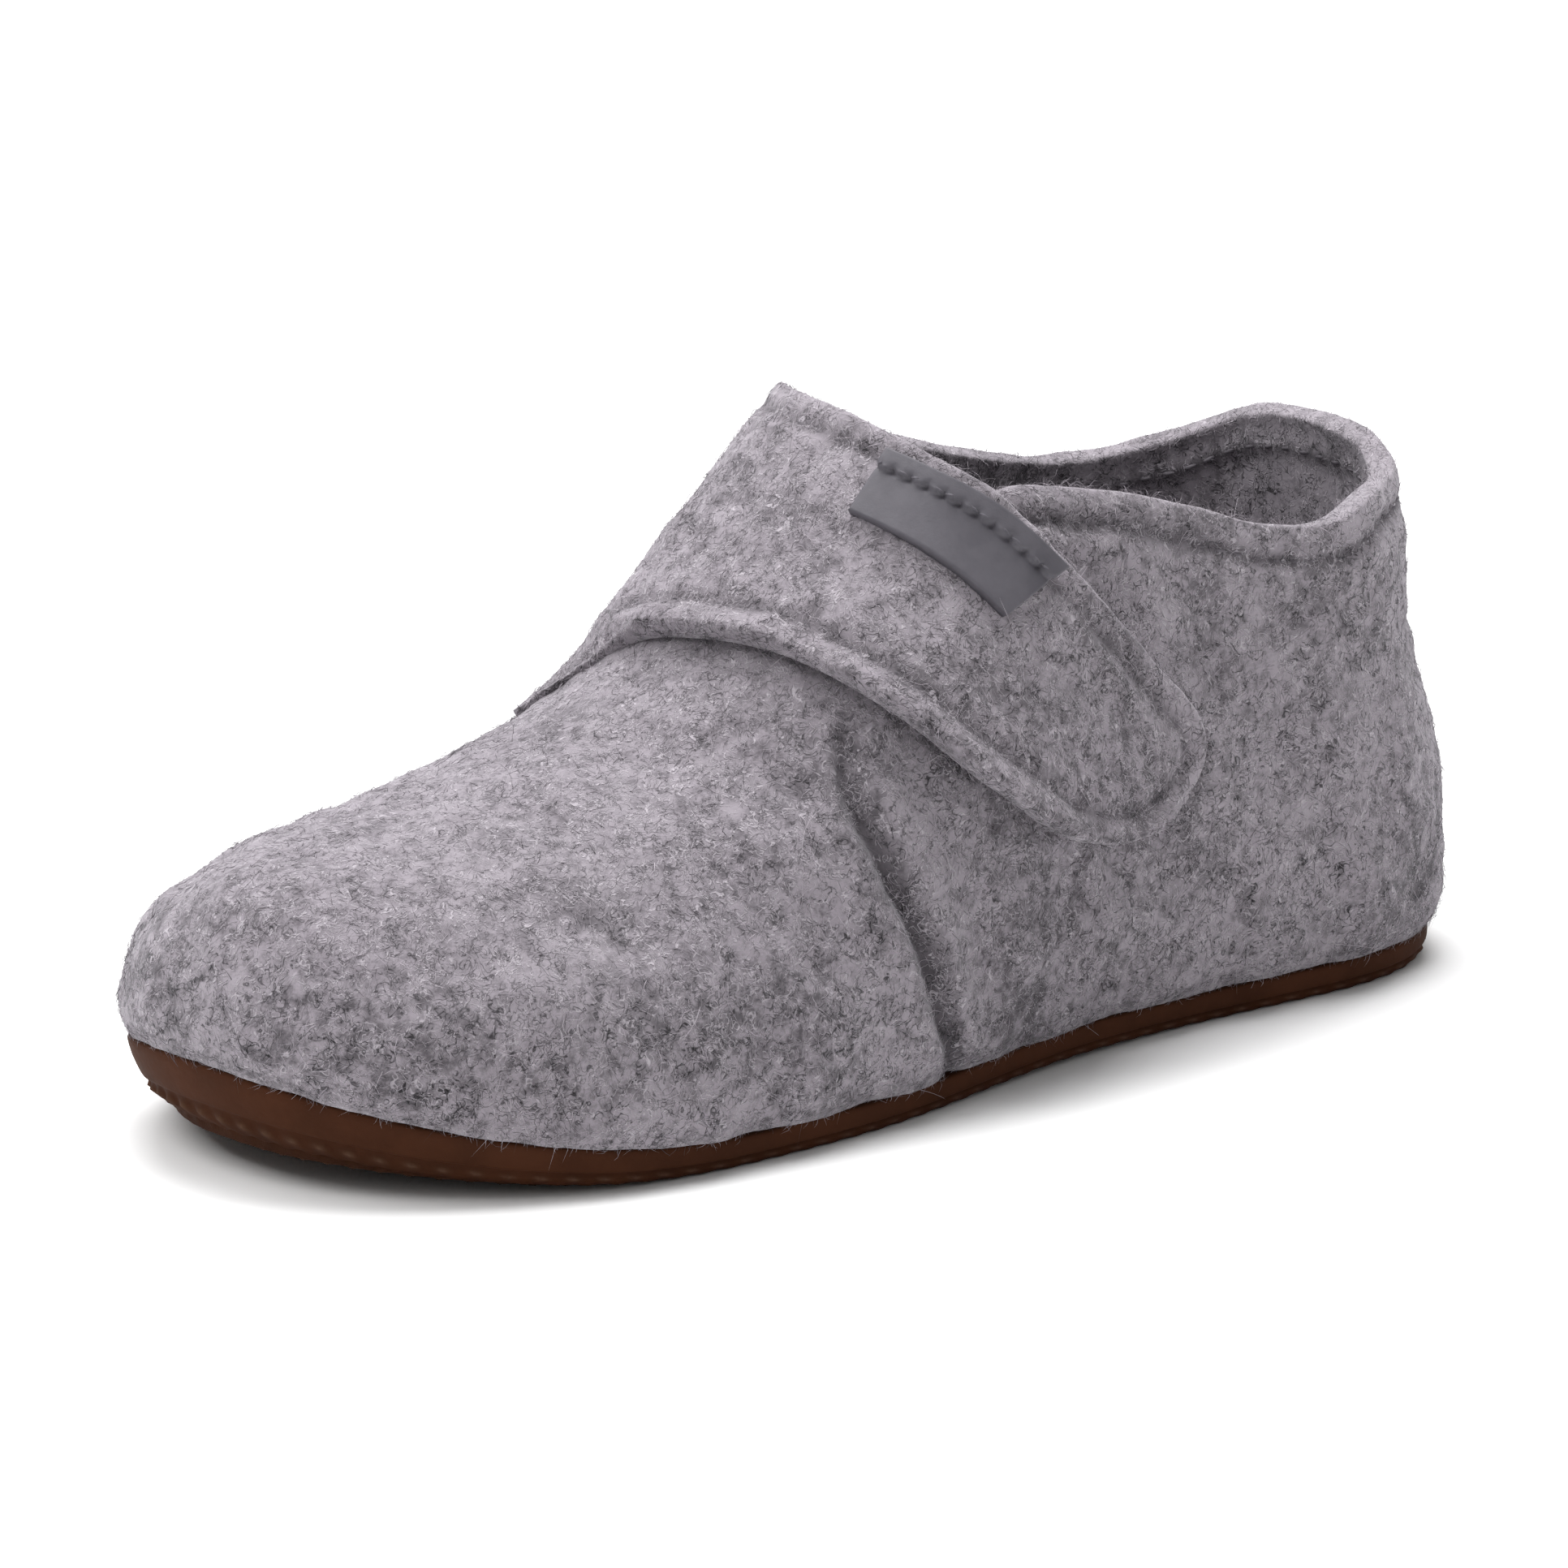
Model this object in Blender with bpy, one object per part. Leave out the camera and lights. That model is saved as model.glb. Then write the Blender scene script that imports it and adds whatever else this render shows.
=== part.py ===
"""Felt baby shoe, the left one, standing empty on its sole.

The toe points along -X, the outer side of the foot is -Y and the floor is z = 0. Every piece is placed on one
form, the outside of the shoe worked out from length, ball width, instep and heel sizes. A place on the form is
(q, s): q is the share of the length from the heel, and s runs from -1 at the outer lower edge over 0 on the
ridge to 1 at the inner lower edge.
"""
import math

import bpy
import numpy as np

# Main sizes, in metres
LENGTH = 0.1415
BALL = 0.060
INSTEP = 0.060
WALL = 0.0026
GAP = 0.0003

# Rounding of the outline at the heel and the toe: reach as a share of the length, and bluntness
HEEL_ROUND = 0.17
HEEL_BLUNT = 2.5
TOE_ROUND = 0.25
TOE_BLUNT = 2.25
TOE_SKEW = 0.0015
SKEW_START = 0.55

# The felt curls in above the sole, over this reach up the wall
TUCK = 0.0011
TUCK_REACH = 0.010

# Slack above the heel: the wall sways in at this height, over this reach up and down and this share forward
HEEL_SWAY = 0.0016
SWAY_HEIGHT = 0.031
SWAY_REACH = 0.016
SWAY_SHARE = 0.28

# Sole
SOLE_EDGE = 0.0033
SOLE_SHY = 0.0004
SOLE_STEP = 0.0005
SOLE_ROLL = 0.0013
TOE_ROLL = 0.0030
TOE_ROLL_START = 0.78
BED_DEPTH = 0.0006
TOE_SPRING = 0.0038
TOE_BUMPER = 0.0042
ARCH = 0.0004
HEEL_LIFT = 0.0010
GROOVE_PITCH = 0.0066
GROOVE_WIDTH = 0.0018
GROOVE_DEPTH = 0.0009
GROOVE_WAVE = 0.0011
GROOVE_MARGIN = 0.0055
GROOVE_STEPS = 6
GROOVE_BELOW = 0.004

INSOLE_THICK = 0.0022

# Strap, tongue and tab
STRAP_THICK = 0.0026
STRAP_SKIVED = 0.0008
STRAP_LIFT = 0.0022
TONGUE_THICK = 0.0020
TONGUE_GAP = 0.0005
TAB_THICK = 0.0009
TAB_FOLD = 0.0006

# Side seam between vamp and quarter
SEAM_WIDTH = 0.0030
SEAM_DEPTH = 0.0008
SEAM_RIDGE = 0.0004

# Profile of the sole's side, from the underside to the felt: share of its height, and how far it lies in as
# shares of the roll and of the step
#    height  roll  step
SOLE_PROFILE = np.array([
    [0.00, 1.00, 0.0],
    [0.14, 0.45, 0.0],
    [0.36, 0.00, 1.0],
    [0.42, 0.00, 0.0],
    [1.00, 0.00, 0.0],
])

# Sections of the form: half widths in shares of BALL, ridge height in shares of INSTEP,
# and how square the crown and the side wall are
#    station  outer  inner  ridge  crown  wall
SECTIONS = np.array([
    [0.00, 0.398, 0.398, 1.250, 1.90, 2.00],
    [0.15, 0.398, 0.395, 1.250, 1.90, 2.12],
    [0.30, 0.392, 0.378, 1.220, 1.90, 2.3],
    [0.40, 0.417, 0.385, 1.100, 1.92, 2.5],
    [0.47, 0.447, 0.400, 0.960, 2.00, 2.6],
    [0.53, 0.474, 0.420, 0.820, 2.00, 2.5],
    [0.60, 0.498, 0.440, 0.677, 2.00, 2.3],
    [0.66, 0.505, 0.455, 0.585, 2.00, 2.2],
    [0.72, 0.505, 0.465, 0.54, 2.00, 2.1],
    [0.80, 0.490, 0.470, 0.495, 2.05, 2.0],
    [0.90, 0.460, 0.465, 0.460, 2.10, 2.0],
    [1.00, 0.430, 0.455, 0.450, 2.10, 2.0],
])

# Collar and throat edge: how far it lies from the ridge, as s, on the outer and the inner side
#    station  outer  inner
COLLAR = np.array([
    [0.00, 0.415, 0.415],
    [0.03, 0.440, 0.455],
    [0.08, 0.450, 0.480],
    [0.15, 0.470, 0.485],
    [0.20, 0.458, 0.465],
    [0.26, 0.420, 0.432],
    [0.32, 0.372, 0.380],
    [0.38, 0.316, 0.292],
    [0.42, 0.275, 0.215],
    [0.46, 0.265, 0.165],
    [0.50, 0.255, 0.150],
    [0.58, 0.250, 0.150],
])
THROAT_BEND = 0.50
THROAT_END = 0.575

# Strap edges, a row for each place along it from its root on the inner side to its rounded end
#    along  rear q  rear s  front q  front s
STRAP = np.array([
    [0.0, 0.418, 0.200, 0.648, 0.335],
    [0.5, 0.442, 0.135, 0.636, 0.220],
    [1.0, 0.462, 0.040, 0.613, 0.100],
    [1.5, 0.463, -0.080, 0.599, -0.050],
    [2.0, 0.450, -0.190, 0.583, -0.180],
    [2.5, 0.427, -0.290, 0.565, -0.310],
    [3.0, 0.397, -0.405, 0.540, -0.440],
    [3.5, 0.358, -0.515, 0.508, -0.565],
    [4.0, 0.322, -0.600, 0.462, -0.682],
])
STRAP_END = (-0.056, -0.104)
STRAP_BLUNT = 2.25

# The places along the strap, up to this much past the last row, and across it
STRAP_STEPS = 23
STRAP_END_STEPS = np.array([0.10, 0.24, 0.42, 0.62, 0.82])
STRAP_ACROSS = 12

# Where along the strap its skived root reaches full thickness, how much later it does so at the front edge,
# and where the front edge starts to lift
SKIVE_END = 0.8
SKIVE_LAG = 0.75
LIFT_START = 1.6

# Tongue edges
#    station  outer  inner
TONGUE = np.array([
    [0.474, -0.190, 0.070],
    [0.479, -0.275, 0.150],
    [0.492, -0.335, 0.205],
    [0.525, -0.345, 0.225],
    [0.570, -0.320, 0.220],
    [0.610, -0.260, 0.190],
    [0.640, -0.180, 0.140],
])

# Shares of the tongue's length at which its rows lie, and how many points a row has
TONGUE_STEPS = np.array([0.0, 0.06, 0.12, 0.22, 0.34, 0.46, 0.58, 0.70, 0.82, 0.92, 1.0])
TONGUE_ACROSS = 13

# Distance from the throat's edge, as s, over which the tongue climbs into the throat
TONGUE_CLIMB = (0.04, 0.14)

# Tab corners on the strap: where along the strap and how far across it from the strap's rear edge
#    rear along  rear across  front along  front across
TAB = np.array([
    [1.82, 0.10, 1.91, 0.375],
    [2.99, 0.065, 2.96, 0.415],
])
TAB_FOLD_SHARE = 0.30
TAB_STEPS = 8
TAB_ACROSS = np.array([0.0, TAB_FOLD_SHARE - 0.04, TAB_FOLD_SHARE, 0.65, 1.0])

# Side seam
#    s from the ridge  station
SEAM = np.array([
    [0.00, 0.560],
    [0.34, 0.565],
    [0.45, 0.582],
    [0.62, 0.576],
    [0.75, 0.559],
    [0.87, 0.545],
    [1.00, 0.525],
])
SEAM_TOP = 0.36
SEAM_FADE = 0.12
SEAM_BEND_REACH = 0.16

# Stretches of the sole, as shares of the length: where the toe spring starts, the arch and the heel's lift
SPRING_START = 0.70
ARCH_SPAN = (0.24, 0.58)
LIFT_END = 0.09
TREAD_SPANS = ((0.09, 0.25), (0.56, 0.90))

# The sections fan out round the toe and the heel
TOE_FAN = (0.70, 0.90)
TOE_FAN_SPEED = 1.45
HEEL_FAN = 0.16

# Fineness of the meshes
HALF_STATIONS = 36
UPPER_ROWS = 16
ARC_STEPS = 160

FELT = (0.205, 0.185, 0.205)
FELT_DARK = (0.13, 0.115, 0.13)
RUBBER = (0.060, 0.032, 0.022)
TAB_GREY = (0.18, 0.21, 0.24)


def ramp(value, start, end):
    """Share of the way from start to end, held between 0 and 1."""
    return np.clip((value - start)/(end - start), 0.0, 1.0)


def soft(share):
    """A share with a soft start and end."""
    return share*share*(3 - 2*share)


def read_table(table, where, column):
    """A smooth curve through one column of a table."""
    xs, ys = table[:, 0], table[:, column]
    slope = np.gradient(ys, xs)
    i = np.clip(np.searchsorted(xs, where, side="right") - 1, 0, len(xs) - 2)
    width = xs[i + 1] - xs[i]
    t = np.clip((where - xs[i])/width, 0.0, 1.0)
    start = (2*t**3 - 3*t**2 + 1)*ys[i] + (t**3 - 2*t**2 + t)*width*slope[i]
    return start + (3*t**2 - 2*t**3)*ys[i + 1] + (t**3 - t**2)*width*slope[i + 1]


def outline_rounding(q):
    """How the half width closes at the heel and the toe: a superellipse quarter at each end."""
    heel = ramp(q, HEEL_ROUND, 0.0)
    toe = ramp(q, 1 - TOE_ROUND, 1.0)
    return (1 - heel**HEEL_BLUNT)**(1/HEEL_BLUNT)*(1 - toe**TOE_BLUNT)**(1/TOE_BLUNT)


def station_x(q):
    return LENGTH*(0.5 - q)


def middle_y(q):
    """The toe leans a little to the inner side."""
    return TOE_SKEW*ramp(q, SKEW_START, 1.0)**2


def sole_rise(q):
    """Height of the sole's underside over the floor: toe spring, arch and the lift at the heel's back."""
    spring = TOE_SPRING*ramp(q, SPRING_START, 1.0)**2
    arch = ARCH*np.sin(math.pi*ramp(q, *ARCH_SPAN))**2
    return spring + arch + HEEL_LIFT*ramp(q, LIFT_END, 0.0)**2


def edge_top(q):
    """Height of the line where felt and rubber meet; the rubber climbs at the toe."""
    return sole_rise(q) + SOLE_EDGE + TOE_BUMPER*ramp(q, SPRING_START, 1.0)**2


def sway(q, height):
    """How far the slack wall leans in round the heel, most at SWAY_HEIGHT."""
    off = np.clip(np.abs(height - SWAY_HEIGHT)/SWAY_REACH, 0.0, 1.0)
    return HEEL_SWAY*(1 - soft(off))*soft(ramp(q, SWAY_SHARE, 0.0))


def ridge_station(q):
    """Where on the ridge the section from station q ends; sections fan out at both ends."""
    start, end = TOE_FAN
    t = ramp(q, start, 1.0)
    front = start + (end - start)*t*(TOE_FAN_SPEED + (1 - TOE_FAN_SPEED)*t)
    back = HEEL_FAN + HEEL_FAN*(q/(2*HEEL_FAN))**2
    return np.where(q > start, front, np.where(q < 2*HEEL_FAN, back, q))


def form(q, s):
    """Points on the form. Each section is a superellipse quarter from the lower edge to the ridge, walked by
    arc length, with its foot curled in by TUCK and the slack above the heel swayed in."""
    q, s = np.broadcast_arrays(np.asarray(q, float), np.asarray(s, float))
    shape = q.shape
    q, s = q.ravel(), s.ravel()
    side = np.where(s < 0, -1.0, 1.0)
    share = np.where(s < 0, read_table(SECTIONS, q, 1), read_table(SECTIONS, q, 2))
    top = ridge_station(q)
    foot = np.stack([station_x(q), middle_y(q) + side*share*BALL*outline_rounding(q), edge_top(q)], -1)
    ridge = np.stack([station_x(top), middle_y(top), read_table(SECTIONS, top, 3)*INSTEP], -1)
    crown = read_table(SECTIONS, q, 4)[:, None]
    wall = read_table(SECTIONS, q, 5)[:, None]
    angle = np.linspace(0.0, math.pi/2, ARC_STEPS + 1)[None]
    run = np.abs(np.cos(angle))**(2/crown)
    run[:, -1] = 0.0
    climb = np.sin(angle)**(2/wall)
    across = (foot - ridge)[:, :2]
    height = foot[:, None, 2] + (ridge - foot)[:, None, 2]*climb
    outward = across/np.linalg.norm(across, axis=1)[:, None]
    curl = TUCK*np.clip(1 - (height - foot[:, 2:3])/TUCK_REACH, 0.0, 1.0)**2
    curl = curl + sway(q[:, None], height)
    plan = ridge[:, None, :2] + across[:, None]*run[..., None] - outward[:, None]*curl[..., None]
    path = np.concatenate([plan, height[..., None]], -1)
    steps = np.linalg.norm(np.diff(path, axis=1), axis=2)
    walked = np.concatenate([np.zeros((len(q), 1)), np.cumsum(steps, axis=1)], 1)
    target = (1 - np.abs(s))*walked[:, -1]
    k = np.clip((walked <= target[:, None]).sum(1) - 1, 0, ARC_STEPS - 1)
    row = np.arange(len(q))
    part = (target - walked[row, k])/(walked[row, k + 1] - walked[row, k])
    points = path[row, k] + (path[row, k + 1] - path[row, k])*part[:, None]
    return points.reshape(shape + (3,))


def over_form(q, s, height):
    """Points a height above the form, along its normal."""
    step = 0.004
    along = form(q + step, s) - form(q - step, s)
    across = form(q, s + step) - form(q, s - step)
    normal = np.cross(across, along)
    normal /= np.linalg.norm(normal, axis=-1, keepdims=True)
    return form(q, s) + normal*np.asarray(height)[..., None]


def make_object(name, points, faces, material):
    mesh = bpy.data.meshes.new(name)
    mesh.from_pydata([tuple(p) for p in points], [], faces)
    mesh.materials.append(material)
    mesh.shade_smooth()
    mesh.set_sharp_from_angle(angle=math.radians(40))
    obj = bpy.data.objects.new(name, mesh)
    shoe.objects.link(obj)
    return obj


def open_edges(faces):
    """Directed edges that only one face of a sheet has."""
    edges = {(a, b) for face in faces for a, b in zip(face, face[1:] + face[:1])}
    return [(a, b) for a, b in edges if (b, a) not in edges]


def shell(name, outer, inner, faces, material):
    """A closed solid between two like sheets, joined round their open edges."""
    count = len(outer)
    back = [tuple(count + v for v in reversed(face)) for face in faces]
    rim = [(b, a, count + a, count + b) for a, b in open_edges(faces)]
    return make_object(name, np.concatenate([outer, inner]), faces + back + rim, material)


def grid_faces(rows, columns):
    """Quads of a sheet whose points run row by row."""
    faces = []
    for i in range(rows - 1):
        for j in range(columns - 1):
            a = i*columns + j
            faces.append((a, a + 1, a + columns + 1, a + columns))
    return faces


def vertex_normals(points, faces):
    """Area-weighted normals of a sheet."""
    normals = np.zeros_like(points)
    for face in faces:
        corners = points[list(face)]
        normal = np.cross(corners[2] - corners[0], corners[-1] - corners[1])
        normals[list(face)] += normal
    return normals/np.linalg.norm(normals, axis=1)[:, None]


def half_stations():
    """Stations from heel to toe, close together at both ends, at the throat's end and at the seam."""
    turn = np.linspace(0.0, math.pi, HALF_STATIONS + 1)
    plain = (1 - np.cos(turn))/2
    seam = SEAM[0, 1]
    width = SEAM_WIDTH/2/LENGTH
    special = [seam - 3*width, seam - width, seam, seam + width, THROAT_END]
    kept = [q for q in plain if min(abs(q - x) for x in special) > 0.6*width]
    return np.array(sorted(kept + special))


def edge_share(q, side):
    """Distance of the collar or throat edge from the ridge, as s; 0 in front of the throat."""
    share = read_table(COLLAR, q, 1 if side < 0 else 2)
    close = ramp(q, THROAT_BEND, THROAT_END)
    return np.where(q < THROAT_END, share*np.sqrt(1 - close**2), 0.0)


def seam_station(q, s):
    """Bends the stations round the seam so that one of them follows it."""
    shift = read_table(SEAM, np.abs(s), 1) - SEAM[0, 1]
    near = 1 - soft(np.clip(np.abs(q - SEAM[0, 1])/SEAM_BEND_REACH, 0.0, 1.0))
    return q + shift*near


def seam_height(q, s):
    """The seam's groove, with a low ridge on the quarter's side of it, below the strap."""
    off = (q - SEAM[0, 1])*LENGTH/SEAM_WIDTH
    groove = -SEAM_DEPTH*np.clip(1 - 2*np.abs(off), 0.0, 1.0)
    ridge = SEAM_RIDGE*np.clip(1 - np.abs(off + 1.0), 0.0, 1.0)
    return (groove + ridge)*ramp(np.abs(s), SEAM_TOP, SEAM_TOP + SEAM_FADE)


def build_upper(material):
    """One hollow felt solid: rows from the lower edge up to the collar, the throat or the ridge."""
    stations = half_stations()
    half = len(stations) - 1
    ring = [(q, -1) for q in stations[:-1]] + [(q, 1) for q in stations[:0:-1]]
    rows = np.linspace(0.0, 1.0, UPPER_ROWS + 1)
    points, index, lifts = [], {}, []
    for i, (q, side) in enumerate(ring):
        top = float(edge_share(q, side))
        for j, row in enumerate(rows):
            partner = (2*half - i) % (2*half)
            if top == 0.0 and j == UPPER_ROWS and (partner, j) in index:
                index[i, j] = index[partner, j]
                continue
            s = side*(1 - row*(1 - top))
            index[i, j] = len(points)
            points.append((float(seam_station(q, s)), s))
            lifts.append(float(seam_height(q, s)))
    places = np.array(points)
    outer = form(places[:, 0], places[:, 1])
    faces = []
    for i in range(2*half):
        n = (i + 1) % (2*half)
        for j in range(UPPER_ROWS):
            face = [index[i, j], index[i, j + 1], index[n, j + 1], index[n, j]]
            faces.append(tuple(v for k, v in enumerate(face) if v != face[k - 1]))
    normals = vertex_normals(outer, faces)
    inner = outer - normals*WALL
    foot = [index[i, 0] for i in range(2*half)]
    inner[foot] = np.column_stack([inset_loop(outer[foot, :2], WALL), outer[foot, 2]])
    outer = outer + normals*np.array(lifts)[:, None]
    return shell("upper", outer, inner, faces, material)


def inset_loop(loop, inset):
    """A closed outline moved inwards. The loop runs heel, outer side, toe, inner side."""
    tangent = np.roll(loop, -1, axis=0) - np.roll(loop, 1, axis=0)
    tangent /= np.linalg.norm(tangent, axis=1)[:, None]
    inward = np.column_stack([tangent[:, 1], -tangent[:, 0]])
    return loop + inward*np.reshape(inset, (-1, 1))


def sole_loop():
    """Stations and plan outline of the felt's lower edge."""
    turn = np.linspace(0.0, 2*math.pi, 2*HALF_STATIONS, endpoint=False)
    q = (1 - np.cos(turn))/2
    side = np.where(turn <= math.pi, -1.0, 1.0)
    return q, form(q, side)[:, :2]


def ladder_faces(ring, facing_up):
    """Closes a ring whose points pair up across the shoe, rung by rung."""
    count = len(ring)
    faces = []
    for i in range(count//2):
        face = [ring[i], ring[i + 1], ring[(count - i - 1) % count], ring[(count - i) % count]]
        face = [v for k, v in enumerate(face) if v != face[k - 1]]
        faces.append(tuple(reversed(face)) if facing_up else tuple(face))
    return faces


def stacked_rings(name, rings, material):
    """A closed solid from rings stacked from the inner underside round to the inner top."""
    count = len(rings[0])
    faces = ladder_faces(list(range(count)), False)
    for r in range(len(rings) - 1):
        for i in range(count):
            a, b = r*count + i, r*count + (i + 1) % count
            faces.append((a, a + count, b + count, b))
    last = (len(rings) - 1)*count
    faces += ladder_faces(list(range(last, last + count)), True)
    return make_object(name, np.concatenate(rings), faces, material)


def build_outsole(material):
    """Side band, step and rolled lower edge, with a lip round the bed of the insole."""
    q, loop = sole_loop()
    low, high = sole_rise(q), edge_top(q) - GAP
    toe = soft(ramp(q, TOE_ROLL_START, 1.0))
    rings = []
    for share, roll, step in SOLE_PROFILE:
        curl = TOE_ROLL*toe*(1 - share)**1.5
        plan = inset_loop(loop, SOLE_SHY + SOLE_ROLL*roll + SOLE_STEP*step + curl)
        rings.append(np.column_stack([plan, low + share*(high - low)]))
    bed = low + SOLE_EDGE - GAP - BED_DEPTH
    lip = inset_loop(loop, WALL)
    rings.append(np.column_stack([lip, high]))
    rings.append(np.column_stack([lip, bed]))
    sole = stacked_rings("outsole", rings, material)
    cut_tread(sole, rings[0])
    return sole


def cut_tread(sole, underside):
    """Wavy grooves across the ball and the heel, cut out of the flat parts and the toe's curve."""
    half = len(underside)//2
    outer_side = underside[:half + 1]
    inner_side = np.roll(underside[::-1], 1, axis=0)[:half + 1]
    points, faces = [], []
    for start, end in TREAD_SPANS:
        count = int(round((end - start)*LENGTH/GROOVE_PITCH))
        for k in range(count + 1):
            x = station_x(start) - k*GROOVE_PITCH
            y_out = np.interp(x, outer_side[::-1, 0], outer_side[::-1, 1]) + GROOVE_MARGIN
            y_in = np.interp(x, inner_side[::-1, 0], inner_side[::-1, 1]) - GROOVE_MARGIN
            add_groove(points, faces, x, y_out, y_in)
    mesh = bpy.data.meshes.new("tread_grooves")
    mesh.from_pydata(points, [], faces)
    cutter = bpy.data.objects.new("tread_grooves", mesh)
    cutter.hide_render = True
    cutter.display_type = "WIRE"
    cutters.objects.link(cutter)
    cut = sole.modifiers.new("tread", "BOOLEAN")
    cut.object = cutter
    cut.operation = "DIFFERENCE"
    cut.solver = "EXACT"


def add_groove(points, faces, x, y_out, y_in):
    """One wavy bar across the sole, GROOVE_DEPTH into its underside."""
    steps = GROOVE_STEPS
    base = len(points)
    floor = float(sole_rise(0.5 - x/LENGTH))
    for n in range(steps + 1):
        y = y_out + (y_in - y_out)*n/steps
        middle = x + GROOVE_WAVE*(1 if n % 2 else -1)
        for dx, z in ((-1, -GROOVE_BELOW), (1, -GROOVE_BELOW), (1, floor + GROOVE_DEPTH), (-1, floor + GROOVE_DEPTH)):
            points.append((middle + dx*GROOVE_WIDTH/2, y, z))
    for n in range(steps):
        for c in range(4):
            a, b = base + 4*n + c, base + 4*n + (c + 1) % 4
            faces.append((a, a + 4, b + 4, b))
    end = base + 4*steps
    faces.append((base, base + 1, base + 2, base + 3))
    faces.append((end + 3, end + 2, end + 1, end))


def build_insole(material):
    """Felt insole in the sole's bed, inside the foot of the upper."""
    q, loop = sole_loop()
    plan = inset_loop(loop, WALL + GAP)
    floor = sole_rise(q) + SOLE_EDGE - BED_DEPTH
    rings = [np.column_stack([plan, floor]), np.column_stack([plan, floor + INSOLE_THICK])]
    return stacked_rings("insole", rings, material)


def strap_places(along, across):
    """(q, s) of places on the strap: across runs from 0 at the rear edge to 1 at the front edge, and past the
    last row of the table the edges turn in along half a superellipse."""
    last = STRAP[-1, 0]
    rear = np.stack([read_table(STRAP, along, 1), read_table(STRAP, along, 2)], -1)
    front = np.stack([read_table(STRAP, along, 3), read_table(STRAP, along, 4)], -1)
    turn = np.clip(along - last, 0.0, 1.0)[..., None]*math.pi/2
    middle, half = (rear + front)/2, (front - rear)/2
    centre = middle + np.sin(turn)**(2/STRAP_BLUNT)*np.array(STRAP_END)
    width = np.abs(np.cos(turn))**(2/STRAP_BLUNT)
    return centre + half*width*(2*across - 1)[..., None]


def strap_lift(along, across):
    """How far the strap's front edge stands off the upper, most at its end."""
    return STRAP_LIFT*soft(ramp(along, LIFT_START, STRAP[-1, 0] + 0.5))*across**2


def build_strap(material):
    """The strap lies on the upper from its skived root over the instep to its rounded, slightly lifted end."""
    last = STRAP[-1, 0]
    along = np.concatenate([np.linspace(0.0, last, STRAP_STEPS), last + STRAP_END_STEPS])
    across = np.linspace(0.0, 1.0, STRAP_ACROSS)
    a, c = np.meshgrid(along, across, indexing="ij")
    places = strap_places(a, c)
    lift = strap_lift(a, c)
    thick = STRAP_SKIVED + (STRAP_THICK - STRAP_SKIVED)*soft(ramp(a - SKIVE_LAG*c**8, 0.0, SKIVE_END))
    q, s = places[..., 0], places[..., 1]
    under = over_form(q, s, GAP + lift).reshape(-1, 3)
    upper_face = over_form(q, s, GAP + lift + thick).reshape(-1, 3)
    return shell("strap", upper_face, under, grid_faces(len(along), len(across)), material)


def build_tongue(material):
    """A flap under the throat, inside the wall at its edges and raised into the throat between them."""
    stations = TONGUE[0, 0] + (TONGUE[-1, 0] - TONGUE[0, 0])*TONGUE_STEPS
    across = np.linspace(0.0, 1.0, TONGUE_ACROSS)
    q, c = np.meshgrid(stations, across, indexing="ij")
    out, inn = read_table(TONGUE, q, 1), read_table(TONGUE, q, 2)
    s = out + (inn - out)*c
    beside = np.minimum(s + edge_share(q, -1), edge_share(q, 1) - s)
    ahead = (THROAT_END - q)*LENGTH/INSTEP
    raised = WALL*soft(ramp(np.minimum(beside, ahead), *TONGUE_CLIMB))
    top = over_form(q, s, raised - WALL - TONGUE_GAP).reshape(-1, 3)
    bottom = over_form(q, s, raised - WALL - TONGUE_GAP - TONGUE_THICK).reshape(-1, 3)
    return shell("tongue", top, bottom, grid_faces(len(stations), len(across)), material)


def build_tab(material):
    """Rubber tab on the strap, thicker along its folded rear edge."""
    a, c = np.meshgrid(np.linspace(0.0, 1.0, TAB_STEPS), TAB_ACROSS, indexing="ij")
    rear = TAB[0, :2] + (TAB[1, :2] - TAB[0, :2])*a[..., None]
    front = TAB[0, 2:] + (TAB[1, 2:] - TAB[0, 2:])*a[..., None]
    on_strap = rear + (front - rear)*c[..., None]
    along, across = on_strap[..., 0], on_strap[..., 1]
    places = strap_places(along, across)
    base = 2*GAP + STRAP_THICK + strap_lift(along, across)
    thick = TAB_THICK + TAB_FOLD*(c < TAB_FOLD_SHARE)
    top = over_form(places[..., 0], places[..., 1], base + thick).reshape(-1, 3)
    bottom = over_form(places[..., 0], places[..., 1], base).reshape(-1, 3)
    return shell("label_tab", top, bottom, grid_faces(TAB_STEPS, len(TAB_ACROSS)), material)


def make_material(name, colour, roughness):
    material = bpy.data.materials.new(name)
    material.use_nodes = True
    shader = material.node_tree.nodes["Principled BSDF"]
    shader.inputs["Base Color"].default_value = (*colour, 1.0)
    shader.inputs["Roughness"].default_value = roughness
    shader.inputs["Metallic"].default_value = 0.0
    return material


def stand_on_origin(pieces):
    """Moves the shoe so that the middle of its box is over the origin."""
    corners = np.array([v.co for piece in pieces for v in piece.data.vertices])
    middle = (corners.min(0) + corners.max(0))/2
    for obj in list(pieces) + list(cutters.objects):
        for v in obj.data.vertices:
            v.co.x -= middle[0]
            v.co.y -= middle[1]


for old in list(bpy.data.objects):
    bpy.data.objects.remove(old)
shoe = bpy.data.collections.new("felt_baby_shoe")
cutters = bpy.data.collections.new("cutters")
bpy.context.scene.collection.children.link(shoe)
bpy.context.scene.collection.children.link(cutters)

felt = make_material("grey_felt", FELT, 0.95)
felt_dark = make_material("inner_felt", FELT_DARK, 0.95)
rubber = make_material("brown_rubber", RUBBER, 0.55)
tab_rubber = make_material("grey_rubber", TAB_GREY, 0.5)

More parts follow.
